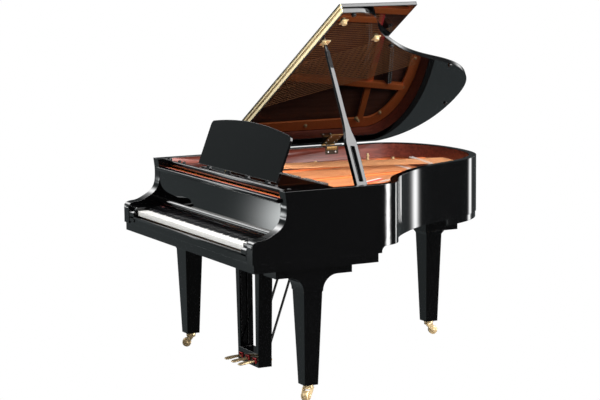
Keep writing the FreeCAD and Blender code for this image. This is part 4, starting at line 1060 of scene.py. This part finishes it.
@dataclass
class ActionSet(Assembly):
    """Shaped hammers and dampers in place of their plain CAD solids.

    Args:
        felt: Width, depth and height of a hammer's felt.
        shank_level: Height of the hammer shanks.
        head: Width, length and height of a damper's head.
        tray_top: Height of the damper tray's top.
    """

    felt: tuple[float, float, float] = (0.0078, 0.027, 0.041)
    shank_level: float = 0.815
    head: tuple[float, float, float] = (0.0085, 0.042, 0.022)
    tray_top: float = 0.845

    def build(self) -> None:
        """Build the hammers and the dampers."""
        self._hammers()
        self._dampers()

    def _hammers(self) -> None:
        """Hammer rail, shanks, mouldings and rounded felts."""
        solids = self.solids("hammers")
        rail_corners = max(solids, key=lambda corners: np.ptp(corners[:, 0]))
        low, high = rail_corners.min(axis=0), rail_corners.max(axis=0)
        beam_foot = self.shank_level - 0.010
        beam_low = (low[0], low[1], beam_foot)
        beam = Modeller.block("hammer_rail", beam_low, tuple(high), 0.003)
        stands = []
        for share in (0.015, 0.35, 0.65, 0.985):
            x = low[0] + share * (high[0] - low[0])
            foot = (x - 0.004, low[1], low[2])
            stands.append(Modeller.block("stand", foot, (x + 0.004, high[1], beam_foot + 0.002), 0.001))
        rail = Modeller.join("hammer_rail", [beam, *stands])
        self.fit(rail, Body.ACTION, MAPLE, Slot.WOOD, "hammers")
        wide, long, tall = self.felt
        top = max(corners[:, 2].max() for corners in solids)
        low, high = (-wide / 2, -long / 2, -tall), (wide / 2, long / 2, 0.0)
        felt = Modeller.block("hammer_felt", low, high, 0.0033, 4)
        low, high = (-0.0036, -0.004, beam_foot - top), (0.0036, 0.004, 0.003 - tall)
        neck = Modeller.block("moulding", low, high, 0.001)
        shank_long = 0.078
        rings = ((0.0, 0.0025), (0.006, 0.0025), (0.008, 0.0023), (shank_long, 0.0023))
        foot = Vector((0.0, -shank_long, self.shank_level - top))
        shank = Modeller.turned("shank", rings, 8, foot, Vector((0.0, 1.0, 0.0)))
        wood = Modeller.join("hammer_wood", [neck, shank])
        places = []
        for corners in solids:
            if corners is rail_corners:
                continue
            middle = (corners[:, 0].min() + corners[:, 0].max()) / 2
            places.append(Matrix.Translation((middle, corners[:, 1].max() - 0.013, top)))
        self.fit(Modeller.repeat(felt, "hammer_felts", places), Body.ACTION, PALE_FELT, Slot.FELT)
        self.fit(Modeller.repeat(wood, "hammer_wood", places), Body.ACTION, MAPLE, Slot.WOOD)

    def _dampers(self) -> None:
        """Damper heads, their felts, wires and the lifting tray."""
        solids = self.solids("dampers")
        tray_corners = max(solids, key=lambda corners: np.ptp(corners[:, 0]))
        tray = Modeller.block("damper_tray", tray_corners.min(axis=0), tray_corners.max(axis=0), 0.002)
        self.fit(tray, Body.DAMPERS, MAPLE, Slot.WOOD, "dampers")
        wide, long, tall = self.head
        low, high = (-wide / 2, -long / 2, 0.008), (wide / 2, long / 2, tall)
        wood = Modeller.block("damper_head", low, high, 0.0016)
        pads = []
        for side in (-1.0, 1.0):
            middle = side * long / 4
            low, high = (-wide / 2, middle - 0.0095, 0.0), (wide / 2, middle + 0.0095, 0.009)
            pads.append(Modeller.block("pad", low, high, 0.001))
        pads = Modeller.join("damper_felts", pads)
        rings = ((0.0, 0.0012), (0.058, 0.0012), (0.0585, 0.0021), (0.062, 0.0021), (0.0635, 0.001))
        wires, heads = [], []
        for corners in solids:
            if corners is tray_corners:
                continue
            x, y = corners[:, 0].min() + wide / 2, (corners[:, 1].min() + corners[:, 1].max()) / 2
            level = corners[:, 2].max() - tall
            heads.append(Matrix.Translation((x, y, level)))
            grow = (level + tall + 0.003 - self.tray_top) / rings[-1][0]
            scale = Matrix.Diagonal((1.0, 1.0, grow, 1.0))
            wires.append(Matrix.Translation((x + 0.0035, y, self.tray_top)) @ scale)
        wire = Modeller.turned("damper_wire", rings, 8)
        self.fit(Modeller.repeat(wood, "damper_heads", heads), Body.DAMPERS, SATIN_BLACK, Slot.BLACKS)
        self.fit(Modeller.repeat(pads, "damper_felts", heads), Body.DAMPERS, PALE_FELT, Slot.FELT)
        self.fit(Modeller.repeat(wire, "damper_wires", wires), Body.DAMPERS, STEEL, Slot.STEEL)


@dataclass
class KeyFront(Assembly):
    """Rails, felts and caps round the keyboard, and the fallboard's edges.

    Args:
        arm_inside: X of the arms' inner faces.
        arm_sides: X of both sides of an arm's toe.
        block_inside: X of the key blocks' inner faces.
        fall_half: Half the width of the fallboard.
    """

    arm_inside: float = 0.6847
    arm_sides: Spot = (0.6855, 0.7447)
    block_inside: float = 0.6185
    fall_half: float = 0.6828

    def build(self) -> None:
        """Build the fittings round the keys."""
        bars = (
            ("slip_cap", (-0.0042, 0.0158), (0.6935, 0.7066), 0.0028, LACQUER, Slot.LACQUER),
            ("foot_rail", (0.1668, 0.179), (0.7375, 0.7495), 0.0015, EBONY, Slot.LACQUER),
            ("key_felt", (0.1655, 0.1672), (0.7352, 0.7425), 0.0006, RED_FELT, Slot.FELT),
            ("stretcher", (0.190, 0.2385), (0.906, 0.9352), 0.002, STRETCHER, Slot.PLATE),
            ("stretcher_felt", (0.191, 0.2075), (0.9350, 0.9375), 0.001, RED_FELT, Slot.FELT),
        )
        for name, depths, levels, bevel, finish, slot in bars:
            self.fit(Modeller.bar(name, self.arm_inside, depths, levels, bevel), Body.CASE, finish, slot)
        block_sides = (self.block_inside, self.arm_inside)
        fronts = self._pair("block_front", block_sides, (-0.0042, 0.0132), (0.672, 0.7315), 0.0075)
        caps = self._pair("block_cap", block_sides, (0.0104, 0.070), (0.726, 0.7499), 0.0078)
        self.fit(Modeller.join("block_fronts", fronts + caps), Body.CASE, LACQUER, Slot.LACQUER)
        toes = self._pair("arm_toe", self.arm_sides, (-0.0068, 0.020), (0.726, 0.7515), 0.0085)
        self.fit(Modeller.join("arm_toes", toes), Body.CASE, LACQUER, Slot.LACQUER)
        foot = Modeller.bar("fallboard_foot", self.fall_half, (0.1662, 0.1695), (0.7745, 0.7785), 0.001)
        self.fit(foot, Body.FALL, EBONY, Slot.LACQUER)
        nose = Modeller.bar("fallboard_nosing", self.fall_half, (0.1495, 0.163), (0.9262, 0.9436), 0.0055, 5)
        self.fit(nose, Body.FALL, LACQUER, Slot.LACQUER)

    @staticmethod
    def _pair(name: str, sides: Spot, depths: Spot, levels: Spot, chamfer: float) -> list[Shape]:
        """Chamfered block at both ends of the keyboard.

        Args:
            name: Name of the blocks.
            sides: X of the treble block's sides.
            depths: Depth of the front and back.
            levels: Height of the foot and top.
            chamfer: Width of the chamfers.

        Returns:
            Both blocks.
        """
        pair = []
        for hand in (-1.0, 1.0):
            near, far = sorted(hand * side for side in sides)
            low, high = (near, depth(depths[0]), levels[0]), (far, depth(depths[1]), levels[1])
            pair.append(Modeller.block(name, low, high, chamfer, 1))
        return pair


@dataclass
class ShelfTrim(Assembly):
    """Nosing, catches and the desk's hinge line on the music shelf.

    Args:
        half: Half the width of the shelf.
        desk_half: Half the width of the desk.
        catches: Plan places of the treble catches, as X and depth.
    """

    half: float = 0.6828
    desk_half: float = 0.425
    catches: Sequence[Spot] = ((0.640, 0.262), (0.585, 0.262))

    def build(self) -> None:
        """Build the shelf's fittings."""
        nosing = Modeller.bar("shelf_nosing", self.half, (0.2222, 0.2438), (0.9466, 0.9712), 0.0085, 6)
        self.fit(nosing, Body.SHELF, LACQUER, Slot.LACQUER)
        line = Modeller.bar("desk_hinge_line", self.desk_half, (0.2535, 0.2585), (0.9508, 0.9545), 0.0014)
        self.fit(line, Body.SHELF, OLD_BRASS, Slot.BRASS)
        rings = ((0.0, 0.008), (0.003, 0.008), (0.004, 0.0055), (0.013, 0.0055), (0.0145, 0.009),
                 (0.020, 0.009), (0.0225, 0.006))
        knob = Modeller.turned("shelf_catch", rings, 20)
        spots = [(side * x, back) for side in (-1.0, 1.0) for x, back in self.catches]
        places = [Matrix.Translation((x, depth(back), 0.9508)) for x, back in spots]
        self.fit(Modeller.repeat(knob, "shelf_catches", places), Body.SHELF, SATIN_BLACK, Slot.LACQUER)


@dataclass
class LidFittings(Assembly):
    """Bumpers, spare prop cups, hinge fittings and edge lines of the lid.

    Args:
        pose: Pose of the open lid.
        bumpers: Plan places of the bumpers, as X and depth.
        cups: Plan places of the spare prop cups, as X and depth.
        hinges: Depths of the spine hinges.
        leaf_rows: X of the screws in a hinge's lid leaf.
    """

    pose: LidFrame = LidFrame()
    bumpers: Sequence[Spot] = ((0.728, 0.638), (0.392, 1.002), (0.150, 1.464), (-0.306, 1.678))
    cups: Sequence[Spot] = ((0.664, 0.616), (0.488, 0.872))
    hinges: Sequence[float] = (0.7762, 1.176)
    leaf_rows: Sequence[float] = (-0.722, -0.690, -0.650)

    def build(self) -> None:
        """Build the fittings under the lid, at its hinges and along its edges."""
        self._stops()
        self._hinge_fittings()
        self._lines()

    def _places(self, spots: Iterable[Spot], drop: float = 0.0) -> list[Matrix]:
        """Transforms to places under the open lid.

        Args:
            spots: Plan places under the shut lid, as X and depth.
            drop: Distance below the lid's underside.

        Returns:
            One transform per place.
        """
        level = self.pose.under - drop
        return [self.pose.matrix() @ Matrix.Translation((x, depth(back), level)) for x, back in spots]

    def _stops(self) -> None:
        """Bumpers and spare prop cups under the lid."""
        rings = ((0.0, 0.0115), (0.0055, 0.0115), (0.0085, 0.009), (0.010, 0.005))
        bumper = Modeller.turned("bumper", rings, 20, axis=-UP)
        bumpers = Modeller.repeat(bumper, "lid_bumpers", self._places(self.bumpers))
        self.fit(bumpers, Body.LID, SATIN_BLACK, Slot.BLACKS)
        plate = Modeller.block("cup_plate", (-0.022, -0.017, -0.003), (0.022, 0.017, 0.0), 0.0012)
        rings = ((0.0, 0.0165), (0.004, 0.0165), (0.006, 0.0135), (0.013, 0.0128), (0.0145, 0.0105),
                 (0.0138, 0.0085), (0.005, 0.0080))
        bowl = Modeller.turned("cup_bowl", rings, 24, UP * -0.002, -UP)
        cup = Modeller.join("spare_cup", [plate, bowl])
        cups = Modeller.repeat(cup, "spare_prop_cups", self._places(self.cups))
        self.fit(cups, Body.LID, BRASS, Slot.BRASS)

    def _hinge_fittings(self) -> None:
        """Screws in both leaves of the spine hinges, and brackets over the rim's leaves."""
        rings = ((0.0, 0.0048), (0.0012, 0.0046), (0.0026, 0.0026))
        screw = Modeller.turned("leaf_screw", rings, 14, axis=-UP)
        spots = [(x, back + step) for back in self.hinges for x in self.leaf_rows for step in (-0.026, 0.026)]
        screws = Modeller.repeat(screw, "lid_leaf_screws", self._places(spots, 0.0019))
        self.fit(screws, Body.LID, STEEL, Slot.STEEL)
        screw = Modeller.turned("rim_screw", rings, 14, axis=RIGHT)
        backs = [back + step for back in self.hinges for step in (-0.022, 0.022)]
        places = [Matrix.Translation((-0.7071, depth(back), 0.953)) for back in backs]
        self.fit(Modeller.repeat(screw, "rim_leaf_screws", places), Body.CASE, NICKEL, Slot.STEEL)
        bracket = Modeller.block("hinge_bracket", (-0.7074, -0.031, 0.9635), (-0.7045, 0.031, 0.9822), 0.001)
        places = [Matrix.Translation((0.0, depth(back), 0.0)) for back in self.hinges]
        self.fit(Modeller.repeat(bracket, "hinge_brackets", places), Body.CASE, OLD_BRASS, Slot.BRASS)

    def _lines(self) -> None:
        """Thin lines along the flap's hinge and a strip along the spine."""
        low, high = (-0.741, depth(0.5660), 1.0300), (0.751, depth(0.5678), 1.0357)
        edge = Modeller.block("flap_edge_line", low, high, 0.0006)
        edge.data.transform(self.pose.matrix())
        self.fit(edge, Body.FLAP, LACQUER, Slot.LACQUER)
        low, high = (-0.7405, depth(0.5661), 1.0120), (0.7505, depth(0.5675), 1.0167)
        line = Modeller.block("flap_hinge_line", low, high, 0.0006)
        line.data.transform(self.pose.matrix())
        self.fit(line, Body.LID, OLD_BRASS, Slot.BRASS)
        low, high = (-0.7445, depth(0.50), 0.9826), (-0.7365, depth(1.255), 0.9868)
        self.fit(Modeller.block("spine_strip", low, high, 0.0012), Body.CASE, LACQUER, Slot.LACQUER)


@dataclass
class LidProp(Assembly):
    """Long prop with a slotted paddle, and the short prop that lies in the slot.

    Args:
        pose: Pose of the open lid.
        foot: X, depth and height of the pivot.
        seat: X, depth and height of the tip's seat under the shut lid.
        face_turn: Degrees from the pivot's end to the paddle's face, about the stick.
        pivot_turn: Degrees from the plan's Y to the pivot's end, about the stick.
        paddle: Half width and half thickness of the paddle.
        slot: Half width, start and end of the slot along the prop.
        slot_shift: Sideways place of the slot, along the short prop's pin.
        hub_level: Place of the short prop's pin along the prop.
    """

    pose: LidFrame = LidFrame()
    foot: tuple[float, float, float] = (0.676, 0.590, 0.955)
    seat: tuple[float, float, float] = (0.4559, 0.611, 0.9843)
    face_turn: float = -29.0
    pivot_turn: float = 35.0
    paddle: Spot = (0.0285, 0.0115)
    slot: tuple[float, float, float] = (0.0105, 0.036, 0.216)
    slot_shift: float = -0.006
    hub_level: float = 0.0512

    def build(self) -> None:
        """Build both props along Z and stand them on the pivot."""
        foot = Vector((self.foot[0], depth(self.foot[1]), self.foot[2]))
        tip = self.pose.matrix() @ Vector((self.seat[0], depth(self.seat[1]), self.seat[2]))
        along = (tip - foot).normalized()
        across = (Vector((0.0, 1.0, 0.0)) - along * along.y).normalized()
        columns = Matrix((across, along.cross(across), along)).transposed().to_4x4()
        stand = Matrix.Translation(foot) @ columns @ Matrix.Rotation(math.radians(self.pivot_turn), 4, "Z")
        long_prop = self._long((tip - foot).length)
        long_prop.data.transform(stand)
        self.fit(long_prop, Body.PROP, LACQUER, Slot.LACQUER, "lid_prop")
        short_prop = self._short()
        short_prop.data.transform(stand)
        self.fit(short_prop, Body.SHORT_PROP, LACQUER, Slot.LACQUER, "short_prop")

    def _long(self, length: float) -> Shape:
        """Long prop: an end on the pivot, a twisted neck, the paddle, the stick and a round tip.

        Args:
            length: Distance from the pivot to the tip.

        Returns:
            The prop along Z.
        """
        wide, thick = self.paddle
        end = ((-0.024, 0.010, 0.0078), (-0.018, 0.018, 0.0078), (-0.010, 0.025, 0.0078),
               (0.003, 0.025, 0.0078))
        rest = ((0.018, wide, thick), (0.021, wide, thick), (0.236, wide, thick),
                (0.258, 0.82 * wide, 0.95 * thick), (0.290, 0.60 * wide, 0.88 * thick),
                (0.330, 0.45 * wide, 0.80 * thick), (0.375, 0.0108, 0.0088), (length - 0.040, 0.0092, 0.0078))
        stations = [(UP * level, broad, tall) for level, broad, tall in end]
        body = Modeller.lofted("lid_prop_body", stations, "Z")
        top, broad, tall = end[-1]
        Modeller.pick_faces(body, lambda face: face.normal.z > 0.9 and face.center.z > top - 0.001)
        level = top
        for height, next_broad, next_tall in rest:
            Modeller.draw_on(UP * (height - level), (next_broad / broad, next_tall / tall, 1.0))
            level, broad, tall = height, next_broad, next_tall
        body = Modeller.settle("lid_prop_body")
        self._twist(body, top + 0.001)
        self._cut_slot(body)
        rings = ((0.0, 0.0088), (0.003, 0.0092), (0.006, 0.0080), (0.037, 0.0080), (0.040, 0.0060))
        tip = Modeller.turned("prop_tip", rings, 20, UP * (length - 0.0405))
        return Modeller.smooth(Modeller.join("long_lid_prop", [body, tip]), degrees=14.0)

    def _twist(self, piece: Shape, start: float) -> None:
        """Turn everything above a level to the direction of the paddle's face.

        Args:
            piece: The piece along Z.
            start: The level.
        """
        corners = piece.data.vertices
        Modeller.pick_faces(piece, lambda face: min(corners[index].co.z for index in face.vertices) > start)
        bpy.ops.transform.rotate(value=math.radians(-self.face_turn), orient_axis="Z", orient_type="GLOBAL",
                                 center_override=ORIGIN)
        Modeller.settle(piece.name)

    def _cut_slot(self, piece: Shape) -> None:
        """Cut the slot through the paddle, in the direction in which the short prop swings.

        Args:
            piece: The prop along Z.
        """
        half, low, high = self.slot
        left, right = self.slot_shift - half, self.slot_shift + half
        cutter = Modeller.block("slot_cutter", (left, -0.05, low), (right, 0.05, high), 0.004)
        Modeller.select(piece)
        cut = piece.modifiers.new("Slot", "BOOLEAN")
        cut.object = cutter
        cut.operation = "DIFFERENCE"
        bpy.ops.object.modifier_apply(modifier="Slot")
        bpy.data.objects.remove(cutter)

    def _short(self) -> Shape:
        """Short prop: a slim stick on a round hub, with a narrowed end.

        Returns:
            The prop along Z.
        """
        high = self.slot[2]
        profile = ((self.hub_level, 0.0088, 0.0050), (self.hub_level + 0.014, 0.0088, 0.0050),
                   (self.hub_level + 0.024, 0.0062, 0.0050), (high - 0.016, 0.0062, 0.0050),
                   (high - 0.006, 0.0040, 0.0042))
        stations = [(Vector((self.slot_shift, 0.0, level)), broad, tall) for level, broad, tall in profile]
        stick = Modeller.lofted("short_stick", stations, "Z")
        rings = ((0.0, 0.0046), (0.0008, 0.0060), (0.0184, 0.0060), (0.0192, 0.0046))
        start = Vector((self.slot_shift - 0.0096, 0.0, self.hub_level))
        hub = Modeller.turned("short_hub", rings, 20, start, RIGHT)
        return Modeller.smooth(Modeller.join("short_lid_prop", [stick, hub]))


@dataclass
class LegTrim(Assembly):
    """Flared capital of the tail leg.

    Args:
        tail: Plan place of the tail leg, as X and depth.
        capital: Height of the capital's foot and top.
        post: Half sides of the post at the capital.
        flare: How far the capital reaches out.
    """

    tail: Spot = (-0.3062, 1.535)
    capital: Spot = (0.5425, 0.5608)
    post: Spot = (0.0556, 0.0455)
    flare: float = 0.010

    def build(self) -> None:
        """Draw the capital up and out from its foot."""
        x, y = self.tail[0], depth(self.tail[1])
        low, high = self.capital
        wide, long = self.post
        profile = ((low, 0.0006), (low + 0.003, 0.002), (high - 0.002, self.flare), (high, self.flare))
        stations = [(Vector((x, y, level)), wide + out, long + out) for level, out in profile]
        capital = Modeller.lofted("tail_capital", stations, "Z")
        self.fit(capital, Body.CASE, LACQUER, Slot.LACQUER)


@dataclass
class Caster(Assembly):
    """One brass caster: a horned fork on a turned collar, and a crowned roller.

    Args:
        corner: Name of the leg that it stands under.
        place: Plan place of the swivel, as X and depth.
        turn: Swivel angle in degrees.
        trail: Distance from the swivel to the axle.
        radius: Radius of the roller.
        half: Half the width of the roller.
        top: Height of the fork's top.
    """

    corner: str
    place: Spot
    turn: float
    trail: float = 0.022
    radius: float = 0.023
    half: float = 0.017
    top: float = 0.0617

    def build(self) -> None:
        """Build the fork and the roller."""
        swivel = Matrix.Translation((self.place[0], depth(self.place[1]), 0.0))
        swivel = swivel @ Matrix.Rotation(math.radians(self.turn), 4, "Z")
        fork = self._fork()
        fork.data.transform(swivel)
        self.fit(fork, f"{self.corner}_fork_body", BRASS, Slot.BRASS, f"{self.corner}_caster_fork")
        wheel = self._wheel()
        wheel.data.transform(swivel)
        self.fit(wheel, f"{self.corner}_wheel_body", BRASS, Slot.BRASS, f"{self.corner}_caster_wheel")

    def _fork(self) -> Shape:
        """Fork about the swivel axis.

        Returns:
            The joined fork.
        """
        collar_rings = ((0.0, 0.0225), (0.004, 0.0235), (0.008, 0.0215), (0.0087, 0.013), (0.0087, 0.0058),
                        (0.0175, 0.0056))
        pieces = [Modeller.turned("collar", collar_rings, 32, UP * (self.top - 0.0087))]
        inner = self.half + 0.0005
        cheek = 0.00225
        for side in (-1.0, 1.0):
            x = side * (inner + cheek)
            profile = (
                (0.001, self.top - 0.002, 0.0165), (-0.003, self.top - 0.010, 0.0165),
                (-0.011, self.radius + 0.014, 0.0135), (0.002 - self.trail, self.radius + 0.003, 0.0105),
                (-0.001 - self.trail, self.radius - 0.006, 0.0080),
                (-0.002 - self.trail, self.radius - 0.0095, 0.0045),
            )
            stations = [(Vector((x, y, level)), cheek, half) for y, level, half in profile]
            pieces.append(Modeller.lofted("cheek", stations, "Z"))
            start = Vector((side * inner, -self.trail, self.radius))
            hub = ((0.0, 0.0078), (0.0050, 0.0078), (0.0062, 0.0066), (0.0066, 0.0040), (0.0078, 0.0034))
            pieces.append(Modeller.turned("axle_end", hub, 20, start, RIGHT * side))
        start = Vector((-inner, -self.trail, self.radius))
        axle = ((0.0, 0.0039), (inner, 0.0038), (2 * inner, 0.0039))
        pieces.append(Modeller.turned("axle", axle, 16, start, RIGHT))
        outer = inner + 2 * cheek
        low, high = (-outer, -0.016, self.top - 0.009), (outer, 0.0165, self.top - 0.0008)
        pieces.append(Modeller.block("bridge", low, high, 0.0028))
        return Modeller.join("caster_fork_" + self.corner, pieces)

    def _wheel(self) -> Shape:
        """Roller about its axle.

        Returns:
            The roller.
        """
        half, radius = self.half, self.radius
        rings = ((0.0, 0.0085), (0.0008, radius - 0.0045), (0.0020, radius - 0.0020),
                 (0.0048, radius - 0.0004), (half, radius), (2 * half - 0.0048, radius - 0.0004),
                 (2 * half - 0.0020, radius - 0.0020), (2 * half - 0.0008, radius - 0.0045),
                 (2 * half, 0.0085))
        start = Vector((-half, -self.trail, radius))
        return Modeller.turned("caster_wheel_" + self.corner, rings, 40, start, RIGHT)


@dataclass
class PedalSet(Assembly):
    """Three shaped brass pedals with their red bushings.

    Args:
        pitch: Distance between pedals.
        level: Height of the pedals' pivot.
        box_front: Depth of the lyre box's face.
    """

    pitch: float = 0.075
    level: float = 0.064
    box_front: float = 0.326

    def build(self) -> None:
        """Build the pedals and bushings."""
        for number, name in enumerate(("soft", "sostenuto", "damper"), -1):
            pedal = self._pedal(f"pedal_{name}", number * self.pitch)
            self.fit(pedal, f"{name}_pedal_body", BRASS, Slot.BRASS, f"{name}_pedal")
        places = [Matrix.Translation((number * self.pitch, 0.0, 0.0)) for number in (-1, 0, 1)]
        bushings = Modeller.repeat(self._bushing(), "pedal_bushings", places)
        self.fit(bushings, Body.CASE, BRIGHT_FELT, Slot.FELT)

    def _pedal(self, name: str, x: float) -> Shape:
        """Pedal drawn out from its heel to a broad, drooping toe.

        Args:
            name: Name of the piece.
            x: Its middle.

        Returns:
            The pedal.
        """
        profile = (
            (0.416, 0.0, 0.0092, 0.0050), (0.380, 0.0, 0.0092, 0.0050), (0.330, 0.0, 0.0092, 0.0050),
            (0.305, 0.0005, 0.0098, 0.0050), (0.288, 0.0015, 0.0120, 0.0048), (0.272, 0.0030, 0.0150, 0.0045),
            (0.258, 0.0048, 0.0170, 0.0042), (0.248, 0.0062, 0.0165, 0.0038), (0.241, 0.0073, 0.0140, 0.0032),
            (0.2365, 0.0082, 0.0092, 0.0022),
        )
        stations = [(Vector((x, depth(back), self.level - drop)), wide, high)
                    for back, drop, wide, high in profile]
        pedal = Modeller.lofted(name, stations, "Y")
        Modeller.select(pedal)
        soft = pedal.modifiers.new("Soft", "BEVEL")
        soft.width = 0.0022
        soft.segments = 3
        soft.limit_method = "ANGLE"
        bpy.ops.object.modifier_apply(modifier="Soft")
        return Modeller.smooth(pedal, degrees=50.0)

    def _bushing(self) -> Shape:
        """Felt arch on the box's face, open below for the pedal's travel.

        Returns:
            The bushing about X zero.
        """
        Modeller.start()
        middle = (0.0, depth(self.box_front - 0.003), self.level - 0.005)
        bpy.ops.mesh.primitive_cube_add(size=1.0, location=middle, scale=(0.031, 0.006, 0.044))
        bushing = Modeller.settle("pedal_bushing")
        Modeller.pick_faces(bushing, lambda face: abs(face.normal.y) > 0.9)
        bpy.ops.mesh.inset(thickness=0.0035, use_individual=True)
        bpy.ops.mesh.bridge_edge_loops()
        bpy.ops.mesh.select_all(action="SELECT")
        foot = UP * (self.level - 0.009)
        bpy.ops.mesh.bisect(plane_co=foot, plane_no=UP, use_fill=True, clear_inner=True)
        Modeller.outward()
        bpy.ops.mesh.bevel(offset=0.0008, segments=2, affect="EDGES")
        return Modeller.smooth(Modeller.settle("pedal_bushing"))


@dataclass(frozen=True)
class Lobe:
    """Soft bright patch of the studio dome.

    Args:
        heading: Degrees from +X towards +Y.
        rise: Degrees above the horizon.
        power: How narrow the patch is.
        level: Linear colour at its middle.
    """

    heading: float
    rise: float
    power: float
    level: Colour

    def direction(self) -> Vector:
        """Direction of the patch's middle.

        Returns:
            A unit vector.
        """
        turn, rise = math.radians(self.heading), math.radians(self.rise)
        return Vector((math.cos(turn) * math.cos(rise), math.sin(turn) * math.cos(rise), math.sin(rise)))


@dataclass
class Studio:
    """Floor, lights, world and camera.

    Args:
        floor_size: Side of the floor in metres.
        camera_place: Place of the camera.
        yaw: Camera heading in degrees, counted from +Y towards -X.
        pitch: Camera tilt downwards in degrees.
        roll: Camera roll in degrees.
        lens: Focal length on a 36 mm sensor.
    """

    floor_size: float = 60.0
    camera_place: tuple[float, float, float] = (8.46218, -3.74117 + DEPTH_SHIFT, 2.18668)
    yaw: float = 62.744
    pitch: float = 8.157
    roll: float = -0.540
    lens: float = 117.9
    DOME_BASE = (0.033, 0.035, 0.035)
    DOME_LOBES = (
        Lobe(-155.5, -8.0, 6.0, (0.136, 0.160, 0.165)),
        Lobe(-153.0, -8.7, 9500.0, (5.5, 5.7, 5.7)),
        Lobe(-153.0, -2.0, 1500.0, (6.0, 6.2, 6.2)),
        Lobe(-153.0, 4.0, 1500.0, (6.0, 6.2, 6.2)),
        Lobe(-172.0, 27.0, 90.0, (7.0, 7.0, 7.0)),
        Lobe(105.3, -8.0, 450.0, (6.5, 6.5, 6.5)),
        Lobe(58.0, -8.0, 120.0, (30.0, 30.0, 30.0)),
        Lobe(118.0, 10.0, 100.0, (3.0, 3.0, 3.0)),
        Lobe(27.0, -8.0, 10.0, (0.03, 0.03, 0.03)),
        Lobe(140.0, -45.0, 3.0, (0.10, 0.12, 0.125)),
        Lobe(0.0, 90.0, 3.0, (1.2, 1.2, 1.2)),
    )

    def build(self, groups: NodeGroups) -> None:
        """Set up the whole studio.

        Args:
            groups: Shared node groups, one of which lights the world.
        """
        self._floor()
        self._world(groups)
        self._lights()
        self._camera()
        bpy.context.scene.view_settings.view_transform = "Standard"

    def _floor(self) -> None:
        """Plain pale floor that the camera sees as white."""
        Modeller.start()
        bpy.ops.mesh.primitive_plane_add(size=self.floor_size, location=ORIGIN)
        floor = Modeller.settle("Floor")
        material = bpy.data.materials.new("Pale floor")
        material.use_nodes = True
        sheet, nodes = NodeSheet(material.node_tree), material.node_tree.nodes
        shader = nodes["Principled BSDF"]
        sheet.set(shader, {"Base Color": (0.72, 0.72, 0.72, 1.0), "Roughness": 0.9})
        path = sheet.add("LightPath")
        glow = sheet.add("Emission", {"Color": WHITE})
        blend = sheet.add("MixShader", {"Fac": path.outputs["Is Camera Ray"], 1: shader.outputs["BSDF"],
                                        2: glow.outputs["Emission"]})
        sheet.set(nodes["Material Output"], {"Surface": blend.outputs["Shader"]})
        floor.data.materials.append(material)
        floor.visible_glossy = False

    def _world(self, groups: NodeGroups) -> None:
        """White for the camera, the studio dome for everything else.

        Args:
            groups: Shared node groups.
        """
        world = bpy.data.worlds.new("Studio")
        world.use_nodes = True
        bpy.context.scene.world = world
        sheet = NodeSheet(world.node_tree)
        dome = sheet.add("Group", node_tree=groups.dome)
        path = sheet.add("LightPath")
        colour = sheet.mix(path.outputs["Is Camera Ray"], dome.outputs["Color"], WHITE)
        sheet.set(world.node_tree.nodes["Background"], {"Color": colour})

    @staticmethod
    def _area(name: str, place: Sequence[float], aim: Sequence[float], size: Spot, watts: float) -> None:
        """Add a soft rectangular light.

        Args:
            name: Name of the light.
            place: Its centre.
            aim: Point that it faces.
            size: Its width and height.
            watts: Its power.
        """
        lamp = bpy.data.lights.new(name, "AREA")
        lamp.shape = "RECTANGLE"
        lamp.size, lamp.size_y = size
        lamp.energy = watts
        holder = bpy.data.objects.new(name, lamp)
        holder.location = place
        holder.rotation_euler = (Vector(aim) - Vector(place)).to_track_quat("-Z", "Y").to_euler()
        holder.visible_camera = False
        bpy.context.collection.objects.link(holder)

    def _lights(self) -> None:
        """Softbox over the treble side, a front fill and a light over the keys."""
        self._area("Treble softbox", (3.2, 1.8, 3.6), (-0.2, 0.3, 0.95), (6.0, 5.0), 850.0)
        self._area("Front fill", (1.0, -6.0, 3.0), (0.0, 0.0, 0.8), (3.0, 1.6), 30.0)
        self._area("Key light", (0.2, -1.30, 2.6), (0.0, -0.78, 0.73), (1.4, 0.4), 46.0)

    def _camera(self) -> None:
        """Camera at the photograph's angle."""
        yaw, pitch, roll = (math.radians(angle) for angle in (self.yaw, self.pitch, self.roll))
        flat = math.cos(pitch)
        forward = Vector((-math.sin(yaw) * flat, math.cos(yaw) * flat, -math.sin(pitch)))
        right = Vector((math.cos(yaw), math.sin(yaw), 0.0))
        up = right.cross(forward)
        turned_right = right * math.cos(roll) + up * math.sin(roll)
        turned_up = up * math.cos(roll) - right * math.sin(roll)
        data = bpy.data.cameras.new("Camera")
        data.lens = self.lens
        data.sensor_width = 36.0
        data.dof.use_dof = False
        camera = bpy.data.objects.new("Camera", data)
        columns = Matrix((turned_right, turned_up, -forward)).transposed().to_4x4()
        camera.matrix_world = Matrix.Translation(Vector(self.camera_place)) @ columns
        bpy.context.collection.objects.link(camera)
        bpy.context.scene.camera = camera


def main() -> None:
    """Build the looks and light them."""
    logging.basicConfig(level=logging.INFO, format="%(name)s: %(message)s")
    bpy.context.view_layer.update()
    shop = MaterialShop()
    assemblies = (
        CadNodes(shop), RimLining(shop), StringBed(shop), ActionSet(shop), KeyFront(shop), ShelfTrim(shop),
        LidFittings(shop), LidProp(shop), LegTrim(shop), Caster(shop, "bass", (-0.655, 0.314), -27.0),
        Caster(shop, "treble", (0.655, 0.314), 35.0), Caster(shop, "tail", (-0.3062, 1.535), 165.0),
        PedalSet(shop),
    )
    for assembly in assemblies:
        LOG.info("building %s", type(assembly).__name__)
        assembly.build()
    Studio().build(shop.groups)


if __name__ == "__main__":
    main()
